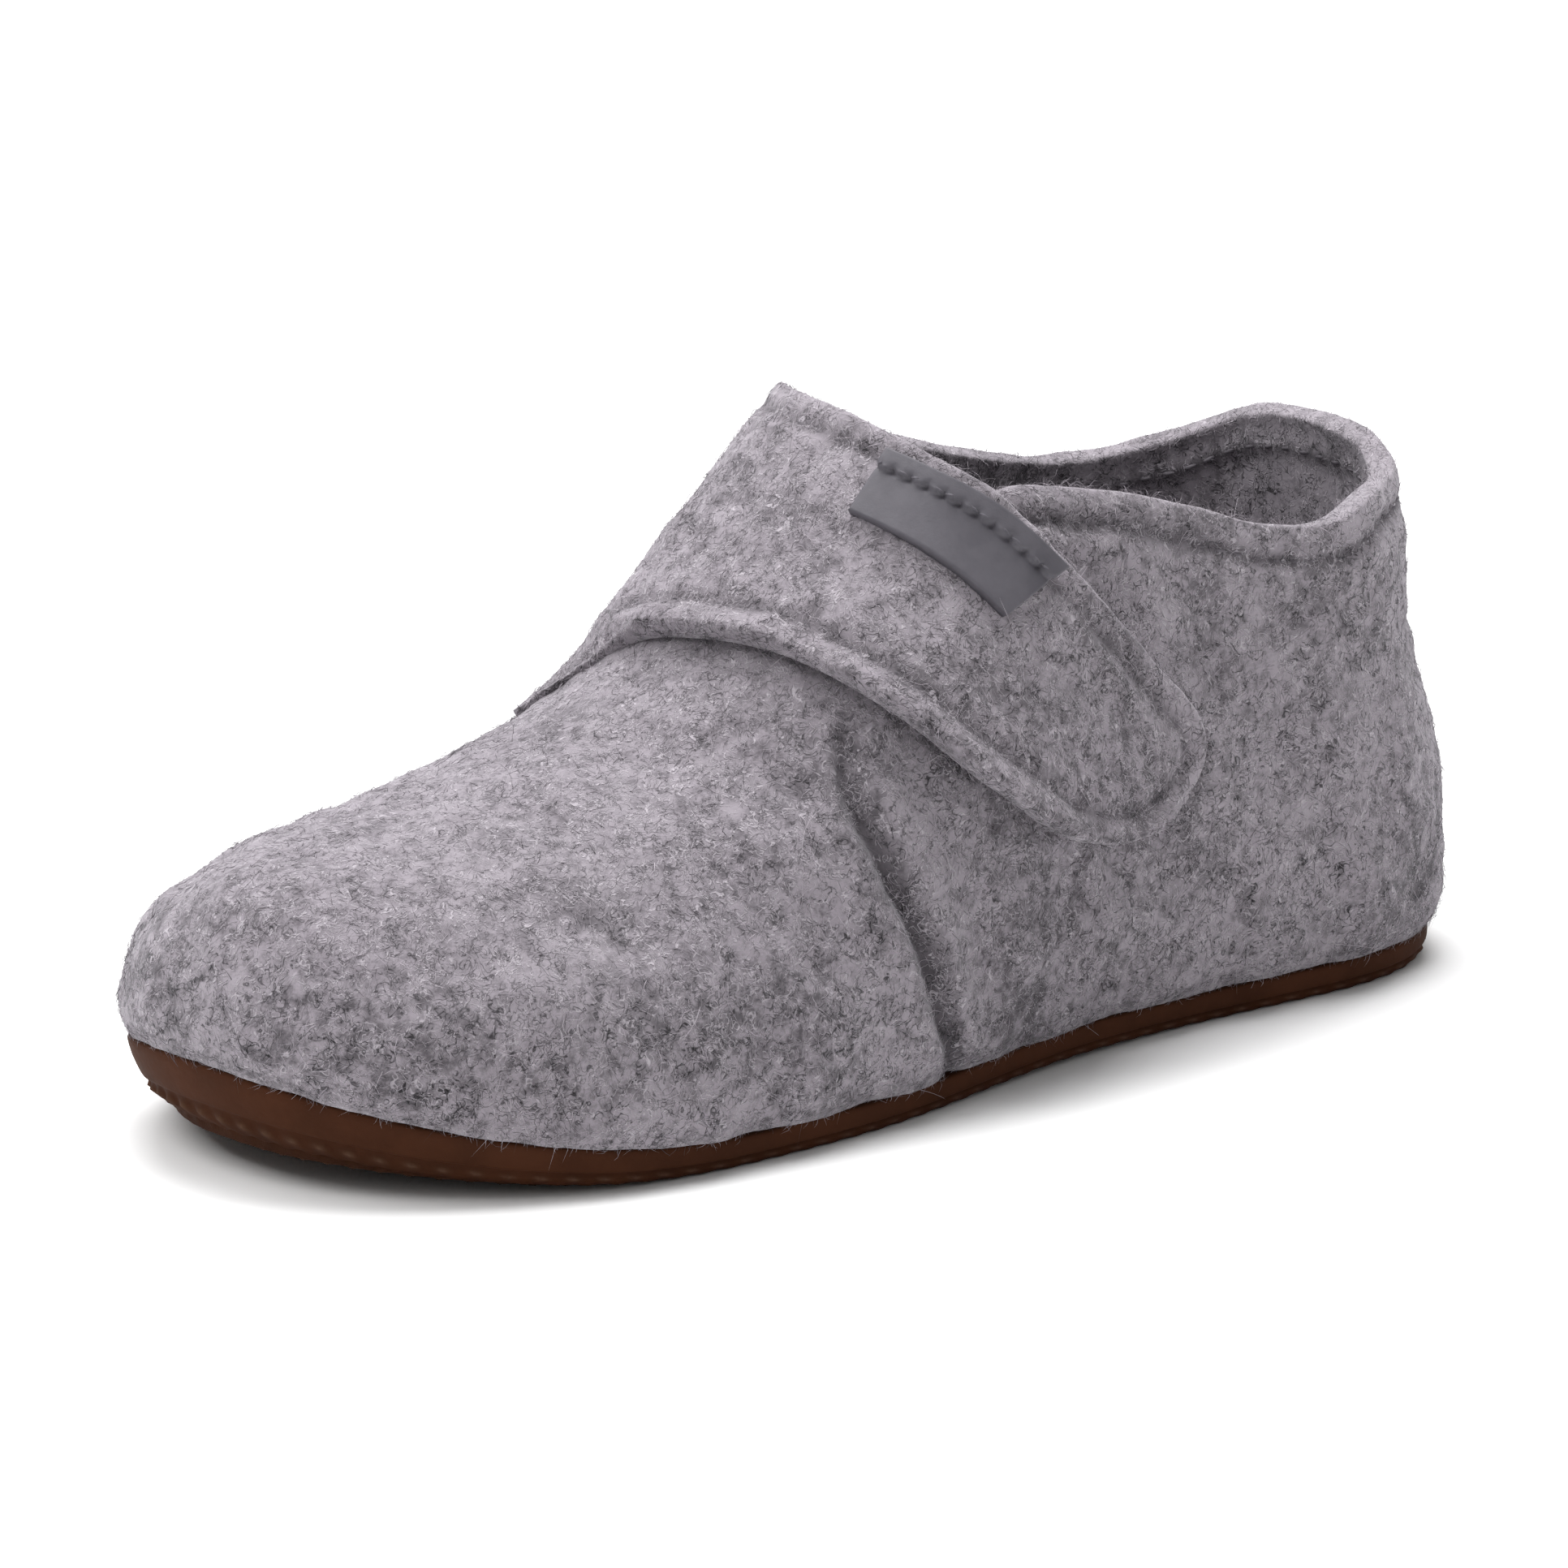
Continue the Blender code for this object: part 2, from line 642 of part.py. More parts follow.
stand_on_origin([
    build_outsole(rubber),
    build_insole(felt_dark),
    build_upper(felt),
    build_tongue(felt_dark),
    build_strap(felt),
    build_tab(tab_rubber),
])
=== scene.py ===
# %% [markdown]
# A small child's left shoe in grey boiled-wool felt, with a wide strap, a bare rubber tab and a thin brown
# rubber sole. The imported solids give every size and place. This lesson dresses them: felt with a nap and
# loose fibres, rounded cut edges, a turned side seam, sewn lines, and rubber with bumps and ribs.

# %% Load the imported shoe
import math

import bpy
import numpy as np
from mathutils import Matrix, Vector


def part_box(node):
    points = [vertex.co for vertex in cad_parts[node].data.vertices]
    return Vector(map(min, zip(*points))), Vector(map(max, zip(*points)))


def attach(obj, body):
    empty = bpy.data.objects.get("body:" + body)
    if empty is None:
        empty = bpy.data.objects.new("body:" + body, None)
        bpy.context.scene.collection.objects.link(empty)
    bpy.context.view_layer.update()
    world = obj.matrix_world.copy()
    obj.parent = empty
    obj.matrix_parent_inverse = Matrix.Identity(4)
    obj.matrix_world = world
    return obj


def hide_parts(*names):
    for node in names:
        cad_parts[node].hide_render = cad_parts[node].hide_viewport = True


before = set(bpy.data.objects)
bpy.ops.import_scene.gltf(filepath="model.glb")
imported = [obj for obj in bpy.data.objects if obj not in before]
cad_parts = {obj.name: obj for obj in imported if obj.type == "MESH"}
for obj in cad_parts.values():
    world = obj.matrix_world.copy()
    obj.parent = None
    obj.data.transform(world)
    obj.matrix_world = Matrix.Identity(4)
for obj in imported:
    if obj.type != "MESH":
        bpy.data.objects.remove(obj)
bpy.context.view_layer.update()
print("solids:", sorted(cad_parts))

# %% [markdown]
# A felt slipper is shaped over a wooden last. One function, the form, stands for that last: it turns a place
# (q, s) into a point. q is the share of the length from the heel, and s runs from -1 at the outer lower edge
# over 0 on the ridge to 1 at the inner lower edge. Every piece is laid on it, so the pieces fit together.

# %% Sizes of the form, in metres
LENGTH, BALL, INSTEP = 0.1415, 0.060, 0.060
WALL, GAP = 0.0026, 0.0003
HEEL_ROUND, HEEL_BLUNT = 0.17, 2.5
TOE_ROUND, TOE_BLUNT = 0.25, 2.25
TOE_SKEW, SKEW_START = 0.0015, 0.55
TUCK, TUCK_REACH = 0.0011, 0.010
HEEL_SWAY, SWAY_HEIGHT, SWAY_REACH, SWAY_SHARE = 0.0016, 0.031, 0.016, 0.28
SOLE_EDGE, TOE_SPRING, TOE_BUMPER, ARCH, HEEL_LIFT = 0.0033, 0.0038, 0.0042, 0.0004, 0.0010
SPRING_START, ARCH_SPAN, LIFT_END = 0.70, (0.24, 0.58), 0.09
TOE_FAN, TOE_FAN_SPEED, HEEL_FAN = (0.70, 0.90), 1.45, 0.16
ARC_STEPS = 240

# Half widths in shares of BALL, ridge height in shares of INSTEP, squareness of the crown and the side wall
#    station  outer  inner  ridge  crown  wall
SECTIONS = np.array([
    [0.00, 0.398, 0.398, 1.250, 1.90, 2.00],
    [0.15, 0.398, 0.395, 1.250, 1.90, 2.12],
    [0.30, 0.392, 0.378, 1.220, 1.90, 2.3],
    [0.40, 0.417, 0.385, 1.100, 1.92, 2.5],
    [0.47, 0.447, 0.400, 0.960, 2.00, 2.6],
    [0.53, 0.474, 0.420, 0.820, 2.00, 2.5],
    [0.60, 0.498, 0.440, 0.677, 2.00, 2.3],
    [0.66, 0.505, 0.455, 0.585, 2.00, 2.2],
    [0.72, 0.505, 0.465, 0.54, 2.00, 2.1],
    [0.80, 0.490, 0.470, 0.495, 2.05, 2.0],
    [0.90, 0.460, 0.465, 0.460, 2.10, 2.0],
    [1.00, 0.430, 0.455, 0.450, 2.10, 2.0],
])


# %% The form
def ramp(value, start, end):
    """Share of the way from start to end, held between 0 and 1."""
    return np.clip((value - start)/(end - start), 0.0, 1.0)


def soft(share):
    """A share with a soft start and end: three squares less two cubes."""
    return share*share*(3 - 2*share)


def bell(distance, width):
    """A bell curve, 1 at distance 0."""
    return np.exp(-(distance/width)**2)


def bells(distance, rows):
    """A sum of bell curves from rows of height, place and half width."""
    return sum(high*bell(distance - place, width) for high, place, width in rows)


def read_table(table, where, column):
    """A smooth curve through one column of a table, by cubic Hermite pieces."""
    xs, ys = table[:, 0], table[:, column]
    slope = np.gradient(ys, xs)
    i = np.clip(np.searchsorted(xs, where, side="right") - 1, 0, len(xs) - 2)
    width = xs[i + 1] - xs[i]
    t = np.clip((where - xs[i])/width, 0.0, 1.0)
    start = (2*t**3 - 3*t**2 + 1)*ys[i] + (t**3 - 2*t**2 + t)*width*slope[i]
    return start + (3*t**2 - 2*t**3)*ys[i + 1] + (t**3 - t**2)*width*slope[i + 1]


def outline_rounding(q):
    """The half width closes at heel and toe along a superellipse quarter."""
    heel, toe = ramp(q, HEEL_ROUND, 0.0), ramp(q, 1 - TOE_ROUND, 1.0)
    return (1 - heel**HEEL_BLUNT)**(1/HEEL_BLUNT)*(1 - toe**TOE_BLUNT)**(1/TOE_BLUNT)


def sole_rise(q):
    """Height of the sole's underside: toe spring, arch and the lift at the heel's back."""
    arch = ARCH*np.sin(math.pi*ramp(q, *ARCH_SPAN))**2
    return TOE_SPRING*ramp(q, SPRING_START, 1.0)**2 + arch + HEEL_LIFT*ramp(q, LIFT_END, 0.0)**2


def edge_top(q):
    """Height of the line where felt and rubber meet; the rubber climbs at the toe."""
    return sole_rise(q) + SOLE_EDGE + TOE_BUMPER*ramp(q, SPRING_START, 1.0)**2


def middle_y(q):
    """The toe leans a little to the inner side."""
    return TOE_SKEW*ramp(q, SKEW_START, 1.0)**2


def ridge_station(q):
    """Where on the ridge the section from station q ends; sections fan out at both ends."""
    start, end = TOE_FAN
    t = ramp(q, start, 1.0)
    front = start + (end - start)*t*(TOE_FAN_SPEED + (1 - TOE_FAN_SPEED)*t)
    back = HEEL_FAN + HEEL_FAN*(q/(2*HEEL_FAN))**2
    return np.where(q > start, front, np.where(q < 2*HEEL_FAN, back, q))


def form_block(q, s):
    """Points for flat arrays of q and s: a superellipse quarter from foot to ridge, walked by arc length."""
    side = np.where(s < 0, -1.0, 1.0)
    share = np.where(s < 0, read_table(SECTIONS, q, 1), read_table(SECTIONS, q, 2))
    top = ridge_station(q)
    foot = np.stack([LENGTH*(0.5 - q), middle_y(q) + side*share*BALL*outline_rounding(q), edge_top(q)], -1)
    ridge = np.stack([LENGTH*(0.5 - top), middle_y(top), read_table(SECTIONS, top, 3)*INSTEP], -1)
    angle = np.linspace(0.0, math.pi/2, ARC_STEPS + 1)[None]
    run = np.abs(np.cos(angle))**(2/read_table(SECTIONS, q, 4)[:, None])
    run[:, -1] = 0.0
    climb = np.sin(angle)**(2/read_table(SECTIONS, q, 5)[:, None])
    across = (foot - ridge)[:, :2]
    height = foot[:, None, 2] + (ridge - foot)[:, None, 2]*climb
    outward = across/np.linalg.norm(across, axis=1)[:, None]
    curl = TUCK*np.clip(1 - (height - foot[:, 2:3])/TUCK_REACH, 0.0, 1.0)**2
    off = np.clip(np.abs(height - SWAY_HEIGHT)/SWAY_REACH, 0.0, 1.0)
    curl = curl + HEEL_SWAY*(1 - soft(off))*soft(ramp(q[:, None], SWAY_SHARE, 0.0))
    plan = ridge[:, None, :2] + across[:, None]*run[..., None] - outward[:, None]*curl[..., None]
    path = np.concatenate([plan, height[..., None]], -1)
    walked = np.cumsum(np.linalg.norm(np.diff(path, axis=1), axis=2), axis=1)
    walked = np.concatenate([np.zeros((len(q), 1)), walked], 1)
    target = (1 - np.abs(s))*walked[:, -1]
    k = np.clip((walked <= target[:, None]).sum(1) - 1, 0, ARC_STEPS - 1)
    row = np.arange(len(q))
    part = (target - walked[row, k])/(walked[row, k + 1] - walked[row, k])
    return path[row, k] + (path[row, k + 1] - path[row, k])*part[:, None]


def form(q, s):
    """Points of the form for arrays of any like shape, in blocks that keep the memory small."""
    q, s = np.broadcast_arrays(np.asarray(q, float), np.asarray(s, float))
    blocks = zip(np.array_split(q.ravel(), q.size//4000 + 1), np.array_split(s.ravel(), q.size//4000 + 1))
    return np.concatenate([form_block(a, b) for a, b in blocks]).reshape(q.shape + (3,)) + stand


def over_form(q, s, height):
    """Points a height above the form, along its normal."""
    step = 0.004
    along = form(q + step, s) - form(q - step, s)
    across = form(q, s + step) - form(q, s - step)
    normal = np.cross(across, along)
    normal /= np.linalg.norm(normal, axis=-1, keepdims=True)
    return form(q, s) + normal*np.asarray(height)[..., None]


def inset_loop(loop, inset):
    """A closed plan outline moved inwards. It runs heel, outer side, toe, inner side."""
    tangent = np.roll(loop, -1, axis=0) - np.roll(loop, 1, axis=0)
    tangent /= np.linalg.norm(tangent, axis=1)[:, None]
    return loop + np.column_stack([tangent[:, 1], -tangent[:, 0]])*np.reshape(inset, (-1, 1))


# %% [markdown]
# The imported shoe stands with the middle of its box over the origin. The form's own zero lies a little off
# that point. The insole's box shows by how much, because its outline follows the form's lower edge.

# %% Put the form where the solids are
stand = np.zeros(3)
turn = np.linspace(0.0, 2*math.pi, 720, endpoint=False)
foot_q, foot_side = (1 - np.cos(turn))/2, np.where(turn <= math.pi, -1.0, 1.0)
bare_loop = inset_loop(form(foot_q, foot_side)[:, :2], WALL + GAP)
insole_low, insole_high = (np.array(corner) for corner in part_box("insole"))
stand[:2] = (insole_low + insole_high)[:2]/2 - (bare_loop.min(0) + bare_loop.max(0))/2
print("form moved by", np.round(1000*stand, 2), "mm")

# %% [markdown]
# Each surface is a grid of points worked out as one array. These helpers join such grids and give a cut felt
# edge its lip: a soft-cornered curve from the outer sheet over to the inner one.


# %% Helpers for surfaces
CUT_BULGE, CUT_SQUARE, CUT_RINGS = 0.50, 0.66, 9
LUMP_WAVES = 14


def grid_quads(rows, columns):
    """Corner numbers of a grid's quads."""
    i, j = np.meshgrid(np.arange(rows - 1), np.arange(columns - 1), indexing="ij")
    a, b = i*columns + j, (i + 1)*columns + j
    return np.stack([a, a + 1, b + 1, b], -1).reshape(-1, 4)


def quad_normals(points, quads):
    """Area-weighted normals of the quads, by the cross product of the diagonals."""
    p = points[quads]
    return np.cross(p[:, 2] - p[:, 0], p[:, 3] - p[:, 1])


def vertex_normals(points, quads):
    """Unit normals at the points, summed from the quads round each one."""
    normals = np.zeros_like(points)
    np.add.at(normals, quads.ravel(), np.repeat(quad_normals(points, quads), 4, axis=0))
    return normals/np.maximum(np.linalg.norm(normals, axis=1), 1e-15)[:, None]


def lip(outer_loop, inner_loop, away):
    """Rings of a cut edge between two like loops: a flat cut with soft corners, by a superellipse, that
    bulges by CUT_BULGE of half the felt's thickness in the direction away."""
    middle, half = (outer_loop + inner_loop)/2, (outer_loop - inner_loop)/2
    tangent = np.roll(outer_loop, -1, axis=0) - np.roll(outer_loop, 1, axis=0)
    out = np.cross(half, tangent)
    out *= (np.linalg.norm(half, axis=1)/np.maximum(np.linalg.norm(out, axis=1), 1e-15))[:, None]
    out *= np.where((out*away).sum(1) < 0, -1.0, 1.0)[:, None]
    angle = np.linspace(0.0, math.pi, CUT_RINGS + 2)[1:-1, None, None]
    run = np.sign(np.cos(angle))*np.abs(np.cos(angle))**CUT_SQUARE
    return middle + half*run + out*CUT_BULGE*np.sin(angle)**CUT_SQUARE


def band_quads(loops):
    """Quads between closed loops of point numbers, one loop a row."""
    a, b = loops[:-1], loops[1:]
    return np.stack([a, b, np.roll(b, -1, axis=1), np.roll(a, -1, axis=1)], -1).reshape(-1, 4)


def make_piece(name, points, quads, material, node=None, triangles=()):
    """A smooth mesh object from arrays; it rides on the shoe and may stand for a solid."""
    faces = quads.tolist() + np.array(triangles, int).tolist()
    mesh = bpy.data.meshes.new(name)
    mesh.from_pydata(points.tolist(), [], faces)
    mesh.materials.append(material)
    mesh.shade_smooth()
    obj = bpy.data.objects.new(name, mesh)
    bpy.context.scene.collection.objects.link(obj)
    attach(obj, "root")
    if node:
        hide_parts(node)
    print(name, len(points), "points,", 2*len(quads) + len(triangles), "triangles")
    return obj


def add_layer(piece, name, values):
    """A number for each point of a mesh, for its material to read."""
    layer = piece.data.attributes.new(name, "FLOAT", "POINT")
    layer.data.foreach_set("value", np.clip(values, 0, 1).astype(np.float32))


def lumps(points, size, seed):
    """Soft uneven swelling, about -1 to 1: a sum of sine waves in mixed directions."""
    rng = np.random.default_rng(seed)
    direction = rng.normal(size=(LUMP_WAVES, 3))
    length = size/rng.uniform(0.7, 1.3, LUMP_WAVES)
    direction *= (2*math.pi/length/np.linalg.norm(direction, axis=1))[:, None]
    start = rng.uniform(0, 2*math.pi, LUMP_WAVES)
    return np.sin(points @ direction.T + start).sum(1)/math.sqrt(LUMP_WAVES)


def unevenness(points, seed, rows):
    """Swellings of several sizes in one sum, from rows of height and size."""
    return sum(high*lumps(points, size, seed + k) for k, (high, size) in enumerate(rows))


# %% [markdown]
# Boiled wool is mottled: pale fibres with darker ones felted in, gathered in clouds a few millimetres wide,
# and over them a tangle of single hairs. The clouds are soft noise. The hairs are the contour lines of a
# finer noise, which curl and cross as hairs do. Both sit in node groups, so that all felt shares them.


# %% Node helpers
def new_group(name, inputs, outputs):
    """An empty shader node group with named sockets. Returns the tree, its input and its output node."""
    tree = bpy.data.node_groups.new(name, "ShaderNodeTree")
    for title, kind, value in inputs:
        socket = tree.interface.new_socket(title, in_out="INPUT", socket_type="NodeSocket" + kind)
        if value is not None:
            socket.default_value = value
    for title, kind in outputs:
        tree.interface.new_socket(title, in_out="OUTPUT", socket_type="NodeSocket" + kind)
    return tree, tree.nodes.new("NodeGroupInput"), tree.nodes.new("NodeGroupOutput")


def put(tree, socket, value):
    """Sets a socket to a value, or links it to another socket."""
    if isinstance(value, bpy.types.NodeSocket):
        tree.links.new(value, socket)
    else:
        socket.default_value = value


def math_node(tree, operation, a, b=0.0, c=None, clamp=False):
    node = tree.nodes.new("ShaderNodeMath")
    node.operation, node.use_clamp = operation, clamp
    put(tree, node.inputs[0], a)
    put(tree, node.inputs[1], b)
    if c is not None:
        put(tree, node.inputs[2], c)
    return node.outputs[0]


def fill_sockets(tree, node, values):
    for title, value in values.items():
        put(tree, node.inputs[title], value)


def noise_node(tree, vector, scale, detail, roughness=0.55, distortion=0.0):
    node = tree.nodes.new("ShaderNodeTexNoise")
    fill_sockets(tree, node, {"Vector": vector, "Scale": scale, "Detail": detail,
                              "Roughness": roughness, "Distortion": distortion})
    return node.outputs["Fac"]


def range_node(tree, value, low, high, to_low=0.0, to_high=1.0):
    """Maps low..high softly to to_low..to_high."""
    node = tree.nodes.new("ShaderNodeMapRange")
    node.interpolation_type = "SMOOTHSTEP"
    fill_sockets(tree, node, {"Value": value, "From Min": low, "From Max": high,
                              "To Min": to_low, "To Max": to_high})
    return node.outputs["Result"]


def mix_colour(tree, share, a, b):
    node = tree.nodes.new("ShaderNodeMix")
    node.data_type = "RGBA"
    fill_sockets(tree, node, {"Factor": share, "A": a, "B": b})
    return node.outputs["Result"]


def shifted(tree, vector, offset):
    node = tree.nodes.new("ShaderNodeMapping")
    put(tree, node.inputs["Vector"], vector)
    node.inputs["Location"].default_value = offset
    return node.outputs[0]


# %% The felt's clouds and hairs
WIDE_SCALE, FINE_SCALE, BROAD_SCALE, HAIR_SCALE, HAIR_BREAK_SCALE = 110.0, 620.0, 28.0, 700.0, 420.0
WIDE_SHARE, FINE_SHARE = 0.34, 0.66
HAIR_CORE, HAIR_RIM = 0.004, 0.032


def build_felt_clouds():
    """Clouds: 0 where the felt is pale and 1 where dark fibres gather, at two sizes."""
    tree, given, out = new_group("felt_clouds", [("Position", "Vector", None), ("Depth", "Float", 1.0)],
                                 [("Clouds", "Float"), ("Broad", "Float")])
    place = given.outputs["Position"]
    wide = noise_node(tree, place, WIDE_SCALE, 3.0, 0.6)
    fine = noise_node(tree, shifted(tree, place, (0.3, 0.1, 0.7)), FINE_SCALE, 4.0, 0.72)
    both = math_node(tree, "MULTIPLY_ADD", fine, FINE_SHARE, math_node(tree, "MULTIPLY", wide, WIDE_SHARE))
    clouds = range_node(tree, both, 0.42, 0.64)
    put(tree, out.inputs["Clouds"], math_node(tree, "MULTIPLY", clouds, given.outputs["Depth"]))
    broad = noise_node(tree, shifted(tree, place, (0.5, 0.9, 0.2)), BROAD_SCALE, 2.0)
    put(tree, out.inputs["Broad"], range_node(tree, broad, 0.3, 0.7))
    return tree


def build_felt_hairs():
    """Hairs: thin curling lines where a noise crosses its middle value, broken up by another noise."""
    tree, given, out = new_group("felt_hairs", [("Position", "Vector", None), ("Scale", "Float", HAIR_SCALE)],
                                 [("Pale", "Float"), ("Dark", "Float"), ("Height", "Float")])
    layers = []
    for offset in ((0.0, 0.0, 0.0), (0.37, 0.61, 0.13), (0.71, 0.23, 0.89), (0.19, 0.83, 0.47)):
        place = shifted(tree, given.outputs["Position"], offset)
        noise = noise_node(tree, place, given.outputs["Scale"], 1.0, 0.5, 1.6)
        off = math_node(tree, "ABSOLUTE", math_node(tree, "SUBTRACT", noise, 0.5))
        breaks = noise_node(tree, shifted(tree, place, (0.5, 0.2, 0.4)), HAIR_BREAK_SCALE, 1.0)
        line = range_node(tree, off, HAIR_CORE, HAIR_RIM, 1.0, 0.0)
        layers.append(math_node(tree, "MULTIPLY", line, range_node(tree, breaks, 0.44, 0.54)))
    pale = math_node(tree, "MAXIMUM", layers[0], layers[1])
    put(tree, out.inputs["Pale"], pale)
    put(tree, out.inputs["Dark"], math_node(tree, "MAXIMUM", layers[2], layers[3]))
    put(tree, out.inputs["Height"], math_node(tree, "ADD", pale, layers[2], clamp=True))
    return tree


felt_clouds, felt_hairs = build_felt_clouds(), build_felt_hairs()
print("node groups:", [g.name for g in bpy.data.node_groups])


# %% Felt materials
def new_material(name):
    material = bpy.data.materials.new(name)
    material.use_nodes = True
    tree = material.node_tree
    place = tree.nodes.new("ShaderNodeTexCoord").outputs["Object"]
    return material, tree, tree.nodes["Principled BSDF"], place


def use_group(tree, group, **inputs):
    node = tree.nodes.new("ShaderNodeGroup")
    node.node_tree = group
    for title, value in inputs.items():
        put(tree, node.inputs[title], value)
    return node.outputs


def bump_node(tree, height, distance, strength, normal=None):
    node = tree.nodes.new("ShaderNodeBump")
    put(tree, node.inputs["Height"], height)
    node.inputs["Distance"].default_value = distance
    node.inputs["Strength"].default_value = strength
    if normal is not None:
        put(tree, node.inputs["Normal"], normal)
    return node.outputs["Normal"]


# Painted light and shade by facing: how strongly the dark clouds and hairs show on steep sides, and on faces
# that look up
STEEP_SHADE, LIT_TOP = 1.10, 0.66
# The second number is how far painted shade darkens the felt in seam valleys, along sewn lines and in the
# strap's trough
BROAD_PALE, TROUGH_SHADE, PALE_HAIRS, DARK_HAIRS, DARKER = 0.22, 0.85, 0.65, (0.3, 0.70), 0.3


def attribute_node(tree, name):
    node = tree.nodes.new("ShaderNodeAttribute")
    node.attribute_name = name
    return node.outputs["Fac"]


def felt_material(name, pale, middle, dark):
    """Matt felt: pale to dark by the clouds, with painted light and shade: fewer dark clouds and hairs where
    it faces up, more on steep sides, and darker in the troughs; hairs and tufts as bump.
    """
    material, tree, shader, place = new_material(name)
    split = tree.nodes.new("ShaderNodeSeparateXYZ")
    put(tree, split.inputs[0], tree.nodes.new("ShaderNodeNewGeometry").outputs["Normal"])
    # painted light and shade: the dark clouds and hairs deepen on steep sides and fade where the felt faces
    # up
    facing_shade = range_node(tree, split.outputs["Z"], 0.15, 0.95, STEEP_SHADE, LIT_TOP)
    clouds = use_group(tree, felt_clouds, Position=place, Depth=facing_shade)
    hairs = use_group(tree, felt_hairs, Position=place)
    ground = mix_colour(tree, clouds["Clouds"], (*middle, 1), (*dark, 1))
    ground = mix_colour(tree, math_node(tree, "MULTIPLY", clouds["Broad"], BROAD_PALE), ground, (*pale, 1))
    # painted shade: the trough attribute darkens the felt in seam valleys and along sewn lines
    sunk = math_node(tree, "MULTIPLY", attribute_node(tree, "trough"), TROUGH_SHADE)
    ground = mix_colour(tree, sunk, ground, (*dark, 1))
    pale_share = math_node(tree, "MULTIPLY", hairs["Pale"], PALE_HAIRS)
    coloured = mix_colour(tree, pale_share, ground, (*pale, 1))
    gathered = math_node(tree, "MULTIPLY_ADD", clouds["Clouds"], *DARK_HAIRS)
    dark_share = math_node(tree, "MULTIPLY", math_node(tree, "MULTIPLY", hairs["Dark"], gathered), facing_shade)
    coloured = mix_colour(tree, dark_share, coloured, tuple(DARKER*c for c in dark) + (1,))
    put(tree, shader.inputs["Base Color"], coloured)
    shader.inputs["Roughness"].default_value = 0.97
    shader.inputs["Specular IOR Level"].default_value = 0.12
    shader.inputs["Sheen Weight"].default_value = 0.35
    shader.inputs["Sheen Roughness"].default_value = 0.55
    shader.inputs["Sheen Tint"].default_value = (0.85, 0.83, 0.88, 1)
    tufts = noise_node(tree, place, 520.0, 5.0, 0.7)
    normal = bump_node(tree, tufts, 0.0009, 0.26)
    normal = bump_node(tree, hairs["Height"], 0.00016, 0.7, normal)
    put(tree, shader.inputs["Normal"], normal)
    return material


PALE_WOOL = (0.480, 0.442, 0.482)
grey_felt = felt_material("grey_boiled_wool", PALE_WOOL, (0.262, 0.236, 0.263), (0.050, 0.044, 0.050))
inner_felt = felt_material("inside_boiled_wool", PALE_WOOL, (0.290, 0.261, 0.291), (0.052, 0.046, 0.052))

# %% [markdown]
# The upper is one sheet of felt with a real wall. Its grid runs in columns from the sole's edge up to the
# collar, or up to the ridge over the toes, where the columns from both sides share their last point. Small
# forms are heights above the form: the turned side seam, the sewn line under the collar, and soft creases.

# %% Edges and lines of the upper
# Collar and throat edge: how far it lies from the ridge, as s, on the outer and the inner side
#    station  outer  inner
COLLAR = np.array([
    [0.00, 0.415, 0.415],
    [0.03, 0.440, 0.455],
    [0.08, 0.450, 0.480],
    [0.15, 0.470, 0.485],
    [0.20, 0.458, 0.465],
    [0.26, 0.420, 0.432],
    [0.32, 0.372, 0.380],
    [0.38, 0.316, 0.292],
    [0.42, 0.275, 0.215],
    [0.46, 0.265, 0.165],
    [0.50, 0.255, 0.150],
    [0.58, 0.250, 0.150],
])
THROAT_BEND, THROAT_END = 0.50, 0.575
LIP_DROP = 1.03

# Side seam
#    s from the ridge  station
SEAM = np.array([
    [0.00, 0.560],
    [0.34, 0.565],
    [0.45, 0.582],
    [0.62, 0.576],
    [0.75, 0.559],
    [0.87, 0.545],
    [1.00, 0.525],
])
SEAM_TOP, SEAM_FADE, SEAM_BEND_REACH = 0.36, 0.12, 0.16
# Half width of the painted shade in the seam's valley
SEAM_SHADE_WIDTH = 0.0017

# The quarter's roll, the vamp's roll and the valley between them: height, place beside the seam, half width
SEAM_FORMS = ((0.00060, -0.0026, 0.0020), (0.00022, 0.0024, 0.0018), (-0.00140, 0.0, 0.00110))

# Soft creases: middle of each, its direction in degrees (0 along the shoe, 90 up the side), half length and
# half width in millimetres, and its height, negative for a trough
#    q     s      turn  length  width  height
CREASES = np.array([
    [0.205, -0.72, 78.0, 15.0, 3.2, -0.55],
    [0.160, -0.70, 82.0, 14.0, 3.0, 0.40],
    [0.300, -0.86, 20.0, 14.0, 2.6, -0.45],
    [0.400, -0.86, 8.0, 12.0, 2.8, 0.40],
    [0.060, -0.62, 85.0, 10.0, 2.8, -0.40],
    [0.640, -0.30, 62.0, 13.0, 3.4, -0.45],
    [0.690, -0.42, 35.0, 14.0, 3.6, 0.40],
    [0.760, -0.55, 20.0, 12.0, 3.0, -0.35],
    [0.740, 0.42, -40.0, 12.0, 3.2, -0.40],
    [0.300, 0.75, -70.0, 14.0, 3.2, -0.50],
    [0.450, 0.80, -15.0, 15.0, 3.0, -0.40],
    [0.840, -0.20, 70.0, 9.0, 3.0, -0.25],
])
S_LENGTH = 0.062


def edge_share(q, side):
    """Distance of the collar or throat edge from the ridge, as s; 0 in front of the throat."""
    share = np.where(side < 0, read_table(COLLAR, q, 1), read_table(COLLAR, q, 2))
    close = ramp(q, THROAT_BEND, THROAT_END)
    return np.where(q < THROAT_END, share*np.sqrt(1 - close**2), 0.0)*LIP_DROP


